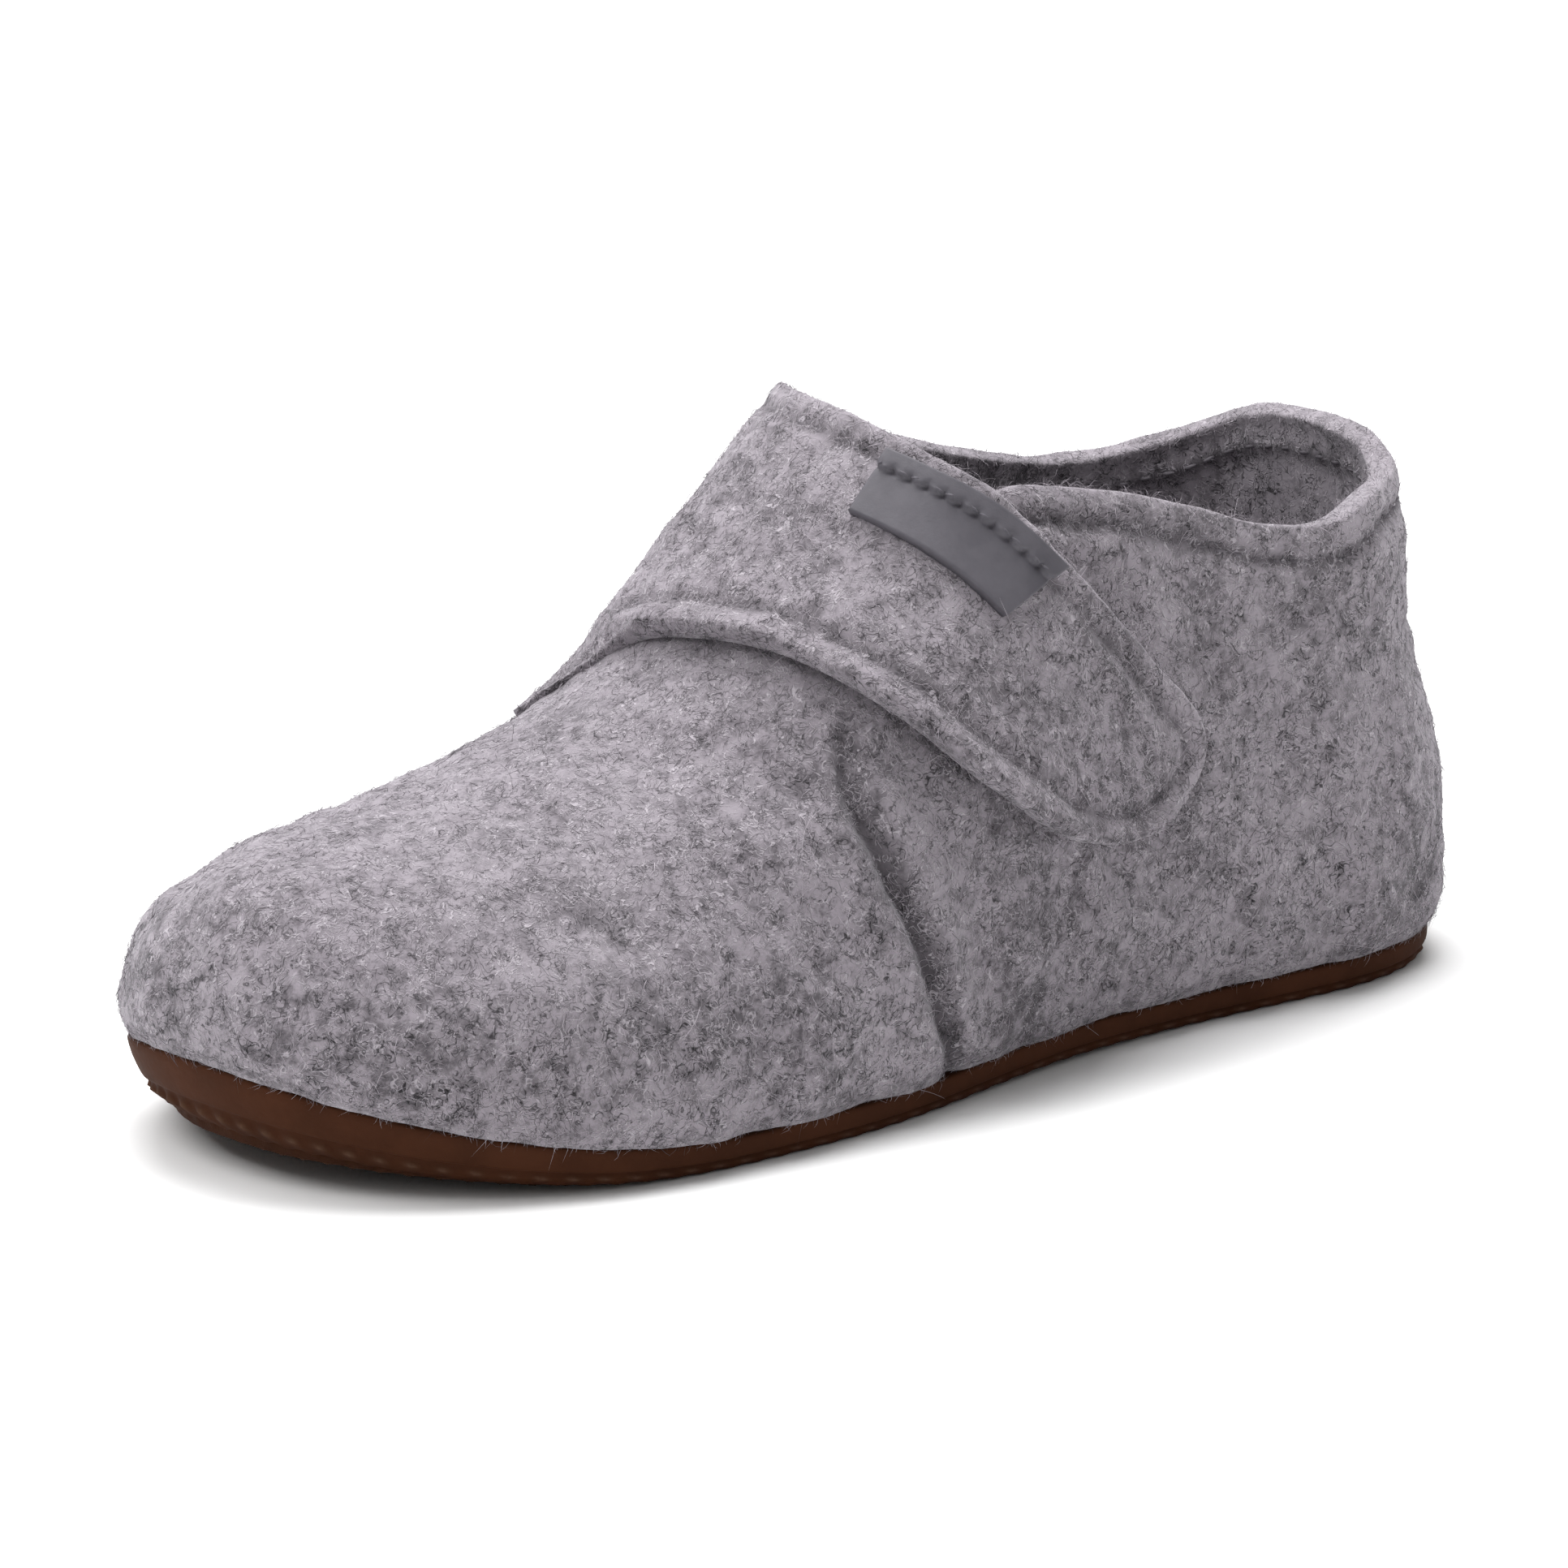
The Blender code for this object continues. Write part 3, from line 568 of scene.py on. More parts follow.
def seam_station(q, s):
    """Bends the columns round the seam so that one of them follows it."""
    shift = read_table(SEAM, np.abs(s), 1) - SEAM[0, 1]
    near = 1 - soft(np.clip(np.abs(q - SEAM[0, 1])/SEAM_BEND_REACH, 0.0, 1.0))
    return q + shift*near


def seam_height(q, s):
    """A turned seam: a narrow valley between two soft rolls, the quarter's roll the fuller one."""
    shape = bells((q - SEAM[0, 1])*LENGTH, SEAM_FORMS)
    return shape*ramp(np.abs(s), SEAM_TOP, SEAM_TOP + SEAM_FADE)*ramp(np.abs(s), 1.06, 0.94)


def seam_shade(q, s):
    """Painted shade in the seam's valley, as a share."""
    off = (q - SEAM[0, 1])*LENGTH
    return bell(off, SEAM_SHADE_WIDTH)*ramp(np.abs(s), SEAM_TOP - 0.06, SEAM_TOP + SEAM_FADE)


def crease_height(q, s):
    """Sum of the creases: each a bell across its line that dies away along it."""
    x, y = q[..., None]*LENGTH - CREASES[:, 0]*LENGTH, (s[..., None] - CREASES[:, 1])*S_LENGTH
    cos, sin = np.cos(np.radians(CREASES[:, 2])), np.sin(np.radians(CREASES[:, 2]))
    along, across = x*cos + y*sin, y*cos - x*sin
    shape = bell(along, CREASES[:, 3]/1000)*bell(across, CREASES[:, 4]/1000)
    return (shape*CREASES[:, 5]/1000).sum(-1)


# %% The upper
STITCH_DROP, STITCH_PITCH = 0.0028, 0.0024
# The third and fourth numbers are the strength and half width of the painted shade along the sewn line
STITCH_DEPTH, STITCH_WIDTH, SEWN_SHADE, SEWN_SHADE_WIDTH = 0.00062, 0.00070, 0.8, 0.0009
SEWN_FROM, SEWN_INSIDE = 0.12, 0.8
COLLAR_ROLLS = ((0.00030, 0.0008, 0.0012), (0.00020, 0.0050, 0.0014))
FOOT_TUCK, FOOT_TUCK_REACH, FOOT_SWELL = 0.0004, 0.0012, ((0.00025, 0.0028, 0.0016),)


def upper_stations(count):
    """Stations close together at both ends and at the seam, with one exactly at the throat's end."""
    plain = (1 - np.cos(np.linspace(0.0, math.pi, count + 1)))/2
    special = np.concatenate([SEAM[0, 1] + np.linspace(-0.034, 0.034, 37), [THROAT_END]])
    apart = np.abs(plain[:, None] - special).min(1) > 0.0015
    return np.unique(np.round(np.concatenate([plain[apart], special]), 7))


def stitch_dimples(down, along):
    """The sewn line: a soft trough STITCH_DROP below the edge, pulled in deeper where the thread dives."""
    pull = 0.6 + 0.4*np.cos(2*math.pi*along/STITCH_PITCH)
    return bells(down, COLLAR_ROLLS) - STITCH_DEPTH*bell(down - STITCH_DROP, STITCH_WIDTH)*pull


def build_upper():
    """The upper's sheet, its cut edge, and what later pieces need: its skin and its two sewn lines."""
    q0 = upper_stations(190)
    half, rows = len(q0) - 1, 84
    ring_q = np.concatenate([q0[:-1], q0[:0:-1]])
    side = np.concatenate([-np.ones(half), np.ones(half)])
    top = edge_share(ring_q, side)
    row = np.linspace(0.0, 1.0, rows + 1)[None]**0.94
    s = side[:, None]*(1 - row*(1 - top[:, None]))
    q = seam_station(ring_q[:, None], s)
    number = np.arange(q.size).reshape(q.shape)
    partner = (2*half - np.arange(2*half)) % (2*half)
    welded = (top == 0.0) & (partner < np.arange(2*half))
    number[welded, -1] = number[partner[welded], -1]
    outer = form(q, s).reshape(-1, 3)
    steps = np.linalg.norm(np.diff(outer.reshape(q.shape + (3,)), axis=1), axis=2)
    down = np.concatenate([np.cumsum(steps[:, ::-1], axis=1)[:, ::-1], np.zeros((2*half, 1))], 1)
    rim = outer.reshape(q.shape + (3,))[:, -1]
    along = np.cumsum(np.linalg.norm(rim - np.roll(rim, 1, axis=0), axis=1))[:, None]
    quads = band_quads(number.T)
    normal = vertex_normals(outer, quads)
    sewn = np.where(top[:, None] > SEWN_FROM, 1.0, 0.0)
    dimples = sewn*stitch_dimples(down, along)
    height = seam_height(ring_q[:, None], s) + crease_height(q, s) + dimples
    up = np.concatenate([np.zeros((2*half, 1)), np.cumsum(steps, axis=1)], 1)
    height += bells(up, FOOT_SWELL) - FOOT_TUCK*(1 - ramp(up, 0.0, FOOT_TUCK_REACH))**2
    rough = unevenness(outer, 3, ((0.00022, 0.011), (0.00010, 0.0042), (0.00005, 0.0021)))
    outer_high = outer + normal*(height.ravel() + rough)[:, None]
    outer_high[number[:, 0], 2] -= GAP
    inner = outer - normal*(WALL*(1 - 0.05*lumps(outer, 0.009, 6)))[:, None]
    inner += normal*dimples.ravel()[:, None]*SEWN_INSIDE
    inner[number[:, 0], 2] = outer_high[number[:, 0], 2]
    throat = int(np.argmin(np.abs(q0 - THROAT_END)))
    chain = np.concatenate([np.arange(throat + 1), np.arange(2*half - throat + 1, 2*half)])
    edge, below = number[chain, -1], number[chain, -2]
    rings = lip(outer_high[edge], inner[edge], outer[edge] - outer[below])
    count = len(outer)
    rim_numbers = 2*count + np.arange(rings.shape[0]*len(edge)).reshape(rings.shape[0], -1)
    loops = np.concatenate([edge[None], rim_numbers, edge[None] + count])
    points = np.concatenate([outer_high, inner, rings.reshape(-1, 3)])
    # Painted shade along the sewn line, inside and out, and on the outside in the seam's valley too
    inner_shade = SEWN_SHADE*sewn*bell(down - STITCH_DROP, SEWN_SHADE_WIDTH)
    outer_shade = inner_shade + seam_shade(ring_q[:, None], s)
    shade = np.concatenate([outer_shade.ravel(), inner_shade.ravel(), np.zeros(rings.size//3)])
    foot = number[:, 0]
    all_quads = np.concatenate([quads, quads[:, ::-1] + count, band_quads(loops),
                                band_quads(np.stack([foot + count, foot]))])
    used, fresh = np.unique(all_quads, return_inverse=True)
    fresh = fresh.reshape(all_quads.shape)
    piece = make_piece("felt_upper", points[used], fresh, grey_felt, "upper")
    add_layer(piece, "trough", shade[used])
    skin = {"points": points, "quads": quads, "lip": band_quads(loops), "inner": (inner, quads[:, ::-1])}
    spots = number[chain, np.abs(down[chain] - STITCH_DROP).argmin(1)]
    lines = (outer_high[spots], normal[spots]), (inner[spots], -normal[spots])
    return skin, lines, (ring_q[chain], side[chain])


upper_skin, collar_lines, collar_places = build_upper()

# %% [markdown]
# The strap runs on from the inner quarter. It lies on the upper, 2.6 mm thick, and its free end stands off
# a little. A place on it is (along, across); past the last row its two edges turn in to a round end. A sewn
# line runs inside its edge and leaves the rim outside it slightly puffed.

# %% The strap
#    along  rear q  rear s  front q  front s
STRAP = np.array([
    [0.0, 0.418, 0.200, 0.648, 0.335],
    [0.5, 0.442, 0.135, 0.636, 0.220],
    [1.0, 0.462, 0.040, 0.613, 0.100],
    [1.5, 0.463, -0.080, 0.599, -0.050],
    [2.0, 0.450, -0.190, 0.583, -0.180],
    [2.5, 0.427, -0.290, 0.565, -0.310],
    [3.0, 0.397, -0.405, 0.540, -0.440],
    [3.5, 0.358, -0.515, 0.508, -0.565],
    [4.0, 0.322, -0.600, 0.462, -0.682],
])
STRAP_END, STRAP_BLUNT = (-0.056, -0.104), 2.25
STRAP_THICK, STRAP_SKIVED, STRAP_LIFT = 0.0026, 0.0008, 0.0022
SKIVE_END, SKIVE_LAG, LIFT_START = 0.8, 0.75, 1.6
# The first two numbers are the strength and half width of the painted shade in the strap's sewn trough
STRAP_SHADE, STRAP_SHADE_WIDTH, LAST_ROOT_ROW = 0.60, 0.0007, 18
LAST = STRAP[-1, 0]
EDGE_INSET, SEWN_INSET, ROOT_SETTLE = 0.0008, 0.0030, 0.0008

# The puffed rim, the sewn trough and the swelling behind it: height, distance from the edge, half width
STRAP_FORMS = ((0.00014, 0.0010, 0.0014), (-0.00036, SEWN_INSET, 0.0008), (0.00012, 0.0052, 0.0014))


def strap_places(along, across):
    """(q, s) on the strap; past the last row the edges turn in along half a superellipse."""
    rear = np.stack([read_table(STRAP, along, 1), read_table(STRAP, along, 2)], -1)
    front = np.stack([read_table(STRAP, along, 3), read_table(STRAP, along, 4)], -1)
    bend = np.clip(along - LAST, 0.0, 1.0)[..., None]*math.pi/2
    centre = (rear + front)/2 + np.sin(bend)**(2/STRAP_BLUNT)*np.array(STRAP_END)
    width = np.maximum(np.cos(bend), 0.0)**(2/STRAP_BLUNT)
    return centre + (front - rear)/2*width*(2*across - 1)[..., None]


def strap_lift(along, across):
    """How far the strap's front edge stands off the upper, most at its end."""
    return STRAP_LIFT*soft(ramp(along, LIFT_START, LAST + 0.5))*across**2


def edge_distance(points, loop):
    """Distance of each point from a closed loop of points, in blocks."""
    blocks = np.array_split(points, 40)
    return np.concatenate([np.linalg.norm(block[:, None] - loop[None], axis=2).min(1) for block in blocks])


def rim_of(number):
    """Point numbers round the border of a grid, in order."""
    return np.concatenate([number[0, :-1], number[:-1, -1], number[-1, :0:-1], number[:0:-1, 0]])


def turned(points, quads, away):
    """The same quads, all turned round if they face against the directions away."""
    return quads if (quad_normals(points, quads)*away).sum() > 0 else quads[:, ::-1]


def sheet(name, top, bottom, shape, material, node, cut_edge=True):
    """A closed piece from two like grids, with a cut edge or a plain wall along its whole border."""
    rim = rim_of(np.arange(len(top)).reshape(shape))
    away = top[rim] - top[rim].mean(0)
    rings = lip(top[rim], bottom[rim], away) if cut_edge else np.zeros((0, len(rim), 3))
    count = len(top)
    numbers = 2*count + np.arange(len(rings)*len(rim)).reshape(len(rings), len(rim))
    loops = np.concatenate([rim[None], numbers, rim[None] + count])
    points = np.concatenate([top, bottom, rings.reshape(-1, 3)])
    quads = grid_quads(*shape)
    quads = turned(points, quads, (top - bottom)[quads[:, 0]])
    wall = turned(points, band_quads(loops), np.tile(away, (len(loops) - 1, 1)))
    all_quads = np.concatenate([quads, quads[:, ::-1] + count, wall])
    piece = make_piece(name, points, all_quads, material, node)
    return piece, {"points": points, "quads": quads, "lip": wall}


def crowded_ends(count, crowding):
    """Numbers from 0 to 1 that lie closer together at both ends, by a share of a cosine spacing."""
    even = np.linspace(0.0, 1.0, count)
    return (1 - np.cos(math.pi*even))/2*crowding + even*(1 - crowding)


def strap_grid(rows, columns):
    """Grid places on the strap, drawn in by about the lip's radius, so that the lip ends at the cut edge."""
    round_end = LAST + 0.88*np.linspace(0.0, 1.0, rows//3)[1:]**1.4
    along = np.concatenate([np.linspace(0.0, LAST, rows), round_end])
    a, c = np.meshgrid(along, crowded_ends(columns, 0.35), indexing="ij")
    edges = [form(*np.moveaxis(strap_places(a[:, :1], side + 0*a[:, :1]), -1, 0)) for side in (0, 1)]
    width = np.linalg.norm(edges[1] - edges[0], axis=-1)
    share = np.minimum(EDGE_INSET/np.maximum(width, 0.004), 0.25)
    return a, share + c*(1 - 2*share)


def build_strap():
    """The strap from its skived root to its round end, with its skin and its two sewn lines."""
    a, c = strap_grid(92, 56)
    q, s = np.moveaxis(strap_places(a, c), -1, 0)
    root = soft(ramp(a - SKIVE_LAG*c**8, 0.0, SKIVE_END))
    thick = STRAP_SKIVED + (STRAP_THICK - STRAP_SKIVED)*root
    stand_off = GAP + strap_lift(a, c)
    base = over_form(q, s, stand_off + thick).reshape(-1, 3)
    rim = rim_of(np.arange(a.size).reshape(a.shape))
    down = edge_distance(base, base[rim]) + EDGE_INSET
    puff = bells(down, STRAP_FORMS)
    rough = unevenness(base, 11, ((0.00020, 0.010), (0.00009, 0.004), (0.00005, 0.002)))
    settled = stand_off - ROOT_SETTLE*(1 - root)
    high = thick + puff.reshape(a.shape)*root + rough.reshape(a.shape)
    top = over_form(q, s, settled + high).reshape(-1, 3)
    bottom = over_form(q, s, settled).reshape(-1, 3)
    piece, skin = sheet("felt_strap", top, bottom, a.shape, grey_felt, "strap")
    shade = np.zeros(len(skin["points"]))
    # painted shade along the sewn trough on the strap's top
    shade[:len(top)] = STRAP_SHADE*bell(down - SEWN_INSET, STRAP_SHADE_WIDTH)*root.ravel()
    add_layer(piece, "trough", shade)
    return skin, strap_line(top, skin["quads"], down.reshape(a.shape))


def strap_line(top, quads, down):
    """The sewn lines on the strap: in each row, on each side, the place SEWN_INSET inside the edge."""
    grid, normals = (block.reshape(down.shape + (3,)) for block in (top, vertex_normals(top, quads)))
    half = down.shape[1]//2
    rows = np.arange(len(down))
    rows = rows[(down.max(1) > SEWN_INSET) & (rows > LAST_ROOT_ROW)]
    sides = []
    for columns in (slice(0, half), slice(half, None)):
        off = np.abs(down[rows, columns] - SEWN_INSET)
        order = np.argsort(off, axis=1)[:, :2]
        gap = np.take_along_axis(off, order, 1) + 1e-9
        share = gap[:, :1]/gap.sum(1, keepdims=True)
        first, second = ((rows, (columns.start or 0) + order[:, k]) for k in (0, 1))
        sides.append([block[first]*(1 - share) + block[second]*share for block in (grid, normals)])
    return sides


strap_skin, strap_lines = build_strap()

# %% [markdown]
# Under the strap a felt tongue closes the throat, and a felt insole covers the sole inside. Both are of the
# inner felt, a little lighter in its middle tone.

# %% Tongue and insole
#    station  outer  inner
TONGUE = np.array([
    [0.474, -0.190, 0.070],
    [0.479, -0.275, 0.150],
    [0.492, -0.335, 0.205],
    [0.525, -0.345, 0.225],
    [0.570, -0.320, 0.220],
    [0.610, -0.260, 0.190],
    [0.640, -0.180, 0.140],
])
TONGUE_THICK, TONGUE_GAP, TONGUE_CLIMB = 0.0020, 0.0005, (0.04, 0.14)
INSOLE_THICK, BED_DEPTH = 0.0022, 0.0006


def build_tongue():
    """A flap inside the wall at its edges, raised into the throat between them."""
    q, c = np.meshgrid(np.linspace(TONGUE[0, 0], TONGUE[-1, 0], 48), np.linspace(0.0, 1.0, 48), indexing="ij")
    out, inn = read_table(TONGUE, q, 1), read_table(TONGUE, q, 2)
    s = out + (inn - out)*c
    outer_edge, inner_edge = (edge_share(q, side + 0*q)/LIP_DROP for side in (-1, 1))
    beside = np.minimum(s + outer_edge, inner_edge - s)
    ahead = (THROAT_END - q)*LENGTH/INSTEP
    raised = WALL*soft(ramp(np.minimum(beside, ahead), *TONGUE_CLIMB))
    top = over_form(q, s, raised - WALL - TONGUE_GAP).reshape(-1, 3)
    bottom = over_form(q, s, raised - WALL - TONGUE_GAP - TONGUE_THICK).reshape(-1, 3)
    sheet("felt_tongue", top, bottom, q.shape, inner_felt, "tongue")


def build_insole():
    """Rings from the middle line out to the edge, over a rounded rim and back under."""
    q, side = foot_q[::2], foot_side[::2]
    plan = inset_loop(form(q, side)[:, :2], WALL + GAP)
    low = sole_rise(q) + SOLE_EDGE - BED_DEPTH
    spine = np.column_stack([LENGTH*(0.5 - (0.06 + 0.88*q)) + stand[0], middle_y(q) + stand[1]])
    above, below = 22, 8
    rim_share, rim_lift = [0.985, 1.0, 1.0, 0.985], [0.93, 0.75, 0.2, 0.0]
    share = np.concatenate([np.linspace(0.02, 0.95, above), rim_share, np.linspace(0.95, 0.02, below)])
    lift = np.concatenate([np.ones(above), rim_lift, np.zeros(below)])
    rings = []
    for part, up in zip(share, lift):
        xy = spine + (plan - spine)*part
        rings.append(np.column_stack([xy, low + INSOLE_THICK*up]))
    points = np.concatenate(rings)
    seen = points[:above*len(q)]
    seen[:, 2] += 0.00012*lumps(seen, 0.009, 21)
    quads, triangles = close_rings(points, np.arange(len(points)).reshape(len(rings), -1))
    make_piece("felt_insole", points, quads, inner_felt, "insole", triangles)


def fan_quads(ring):
    """Closes a ring whose points pair up across the shoe, rung by rung."""
    half = len(ring)//2
    i = np.arange(1, half - 1)
    return np.stack([ring[i], ring[-i], ring[-i - 1], ring[i + 1]], -1)


def outward(points, quads):
    """The same quads, turned so that the closed shape's volume is positive."""
    p = points[quads]
    volume = (np.cross(p[:, 0] - p[:, 2], p[:, 1] - p[:, 3])*p.mean(1)).sum()
    return quads if volume > 0 else quads[:, ::-1]


def end_triangles(ring):
    """The two triangles that finish a closed ring at the heel and the toe, turned as fan_quads."""
    half = len(ring)//2
    return np.array([[ring[0], ring[-1], ring[1]], [ring[half - 1], ring[half + 1], ring[half]]])


def close_rings(points, loops):
    """Quads and end triangles of a solid made of rings, facing outward."""
    quads = np.concatenate([band_quads(loops), fan_quads(loops[0]), fan_quads(loops[-1])[:, ::-1]])
    triangles = np.concatenate([end_triangles(loops[0]), end_triangles(loops[-1])[:, ::-1]])
    facing = outward(points, quads)
    return facing, triangles if (facing[0] == quads[0]).all() else triangles[:, ::-1]


build_tongue()
build_insole()

# %% [markdown]
# The sole is moulded brown rubber. From the felt down its side is a smooth band, then a small step, a row of
# oval bumps and a rounded lower edge; underneath run wavy ribs. The toe curls under more, so bumps and ribs
# show there. The surface is rings: from the middle line under the shoe out to the edge, up the side and in
# over the rim.

# %% The sole's rubber
def rubber_material(name, colour, worn, roughness):
    """Dull moulded rubber: a slightly uneven brown, paler where raised parts rub."""
    material, tree, shader, place = new_material(name)
    cloud = noise_node(tree, place, 120.0, 4.0, 0.6)
    grain = noise_node(tree, place, 1400.0, 3.0, 0.6)
    lighter = tuple(1.35*c for c in colour) + (1,)
    base = mix_colour(tree, range_node(tree, cloud, 0.3, 0.7), (*colour, 1), lighter)
    grained = range_node(tree, grain, 0.25, 0.6, 0.35, 1.0)
    share = math_node(tree, "MULTIPLY", attribute_node(tree, "rubbed"), grained)
    put(tree, shader.inputs["Base Color"], mix_colour(tree, share, base, (*worn, 1)))
    put(tree, shader.inputs["Roughness"], math_node(tree, "MULTIPLY_ADD", grain, 0.14, roughness))
    shader.inputs["Specular IOR Level"].default_value = 0.06
    normal = bump_node(tree, grain, 0.00010, 0.45)
    put(tree, shader.inputs["Normal"], bump_node(tree, cloud, 0.0006, 0.25, normal))
    return material


brown_rubber = rubber_material("brown_sole_rubber", (0.041, 0.0142, 0.0064), (0.092, 0.052, 0.034), 0.66)

# %% Shape of the sole
SOLE_SHY, SOLE_ROLL, SOLE_STEP, TOE_ROLL, TOE_ROLL_START = 0.0004, 0.0013, 0.0005, 0.0030, 0.78
GROOVE_PITCH, GROOVE_DEPTH, GROOVE_MARGIN = 0.0066, 0.0009, 0.0048
GROOVE_WAVE, GROOVE_WAVE_LENGTH = 0.0011, 0.0135
TREAD_START, TREAD_SPANS = 0.09, ((0.085, 0.262), (0.545, 0.925))
BUMP_PITCH, BUMP_HIGH, BUMP_TOE, RIM_BUMP, NUB_HIGH = 0.0030, 0.00034, 0.00026, 0.00026, 0.00045
BUMP_SHARE, RIM_SHARE = 0.22, 0.03

# Profile of the side: share of its height, and how far it lies in as shares of the roll and of the step
#    height  roll  step
SIDE_PROFILE = np.array([
    [0.000, 1.00, 0.0],
    [0.015, 0.78, 0.0],
    [0.050, 0.55, 0.0],
    [0.100, 0.35, 0.1],
    [0.160, 0.20, 0.3],
    [0.220, 0.10, 0.6],
    [0.280, 0.03, 0.9],
    [0.330, 0.00, 1.0],
    [0.365, 0.00, 1.0],
    [0.385, 0.00, 0.55],
    [0.405, 0.00, 0.10],
    [0.440, 0.00, 0.0],
    [0.560, 0.00, -0.05],
    [0.700, 0.00, -0.08],
    [0.840, 0.00, -0.05],
    [0.940, 0.00, 0.0],
    [0.980, 0.00, 0.25],
    [1.000, 0.00, 0.7],
])


def tread_height(points, inside):
    """How deep the tread is cut: wide wavy grooves with two finer ones between, dying out near the edge."""
    x, y = points[:, 0] - stand[0], points[:, 1]
    wave = GROOVE_WAVE*np.cos(2*math.pi*y/GROOVE_WAVE_LENGTH)
    start = LENGTH*(0.5 - TREAD_START)
    phase = (x - start - wave)/GROOVE_PITCH
    off = np.abs(phase - np.round(phase))*GROOVE_PITCH
    wide = GROOVE_DEPTH*ramp(off, 0.0012, 0.0006)
    third = 3*phase
    fine = 0.45*GROOVE_DEPTH*ramp(np.abs(third - np.round(third))*GROOVE_PITCH/3, 0.00062, 0.00025)
    q = 0.5 - x/LENGTH
    spans = sum(ramp(q, a - 0.006, a)*ramp(q, b + 0.006, b) for a, b in TREAD_SPANS)
    return np.maximum(wide, fine)*spans*ramp(inside, GROOVE_MARGIN - 0.0022, GROOVE_MARGIN - 0.0008)


def build_sole():
    """Rings from the middle line under the shoe out, up the side, over the rim and back in."""
    q = foot_q
    loop = form(q, foot_side)[:, :2]
    low, high = sole_rise(q), edge_top(q) - GAP
    toe = soft(ramp(q, TOE_ROLL_START, 1.0))
    steps = np.linalg.norm(np.roll(loop, -1, axis=0) - loop, axis=1)
    walked = np.concatenate([[0.0], np.cumsum(steps)[:-1]])
    bumps = round(steps.sum()/BUMP_PITCH)
    beat = np.cos(math.pi*bumps*walked/steps.sum())**2
    edge = inset_loop(loop, SOLE_SHY + SOLE_ROLL + TOE_ROLL*toe)
    spine = np.column_stack([LENGTH*(0.5 - (0.09 + 0.82*q)) + stand[0], middle_y(q) + stand[1]])
    reach = np.linalg.norm(edge - spine, axis=1)
    rings, rubbed = [], []
    for part in np.concatenate([np.linspace(0.02, 0.97, 62), [0.985]]):
        xy = spine + (edge - spine)*part
        ring = np.column_stack([xy, sole_rise(0.5 - (xy[:, 0] - stand[0])/LENGTH)])
        inside = (1 - part)*reach
        cut = tread_height(ring, inside)
        nub = bell(inside - 0.0016, 0.0009)*beat**1.5*soft(ramp(q, 0.60, 0.80))
        ring[:, 2] += cut - NUB_HIGH*nub*soft(ramp(q, 0.72, 0.84))
        rings.append(ring)
        rubbed.append(0.12*(cut < 1e-5) + 1.6*nub)
    for share, roll, step in SIDE_PROFILE:
        curl = TOE_ROLL*toe*(1 - share)**1.5
        bump = (BUMP_HIGH + BUMP_TOE*toe)*bell(share - BUMP_SHARE, 0.075)*beat
        bump += RIM_BUMP*bell(share - RIM_SHARE, 0.05)*(1 - beat)
        plan = inset_loop(loop, SOLE_SHY + SOLE_ROLL*roll + SOLE_STEP*step + curl - bump)
        ring = np.column_stack([plan, low + share*(high - low)])
        ring[:, 2] += 0.00016*beat*bell(share, 0.02)
        rings.append(ring)
        rubbed.append(0.9*bell(share - BUMP_SHARE, 0.05)*beat**3)
    for inset, drop in ((0.0012, 0.0), (WALL, 0.0), (WALL, 0.0017)):
        rings.append(np.column_stack([inset_loop(loop, inset), high - drop]))
        rubbed.append(0.0*q)
    lip_in = inset_loop(loop, WALL)
    for part in (0.7, 0.3, 0.02):
        xy = spine + (lip_in - spine)*part
        rings.append(np.column_stack([xy, low + SOLE_EDGE - GAP - BED_DEPTH]))
        rubbed.append(0.0*q)
    points = np.concatenate(rings)
    points += 0.00003*lumps(points, 0.006, 31)[:, None]*np.array([0.0, 0.0, 1.0])*(points[:, 2:] > 0.002)
    quads, triangles = close_rings(points, np.arange(len(points)).reshape(len(rings), -1))
    piece = make_piece("rubber_sole", points, quads, brown_rubber, "outsole", triangles)
    add_layer(piece, "rubbed", np.concatenate(rubbed))


build_sole()

# %% [markdown]
# The tab is a strip of grey rubber, about 19 by 7 mm, sewn to the strap along its thicker folded edge. It is
# bare. Its height over the strap is a function of the place on it: a rounded border, the fold with its edge
# drawn in by each stitch, and a sunk sewn line.

# %% The tab
# Corners on the strap: along and across
#    rear along  rear across  front along  front across
TAB = np.array([
    [1.82, 0.10, 1.91, 0.375],
    [2.99, 0.065, 2.96, 0.415],
])
TAB_THICK, TAB_FOLD, TAB_FOLD_SHARE = 0.0009, 0.0006, 0.30
TAB_SEWN, TAB_STITCHES, TAB_LONG, TAB_WIDE = 0.265, 11, 0.019, 0.0068


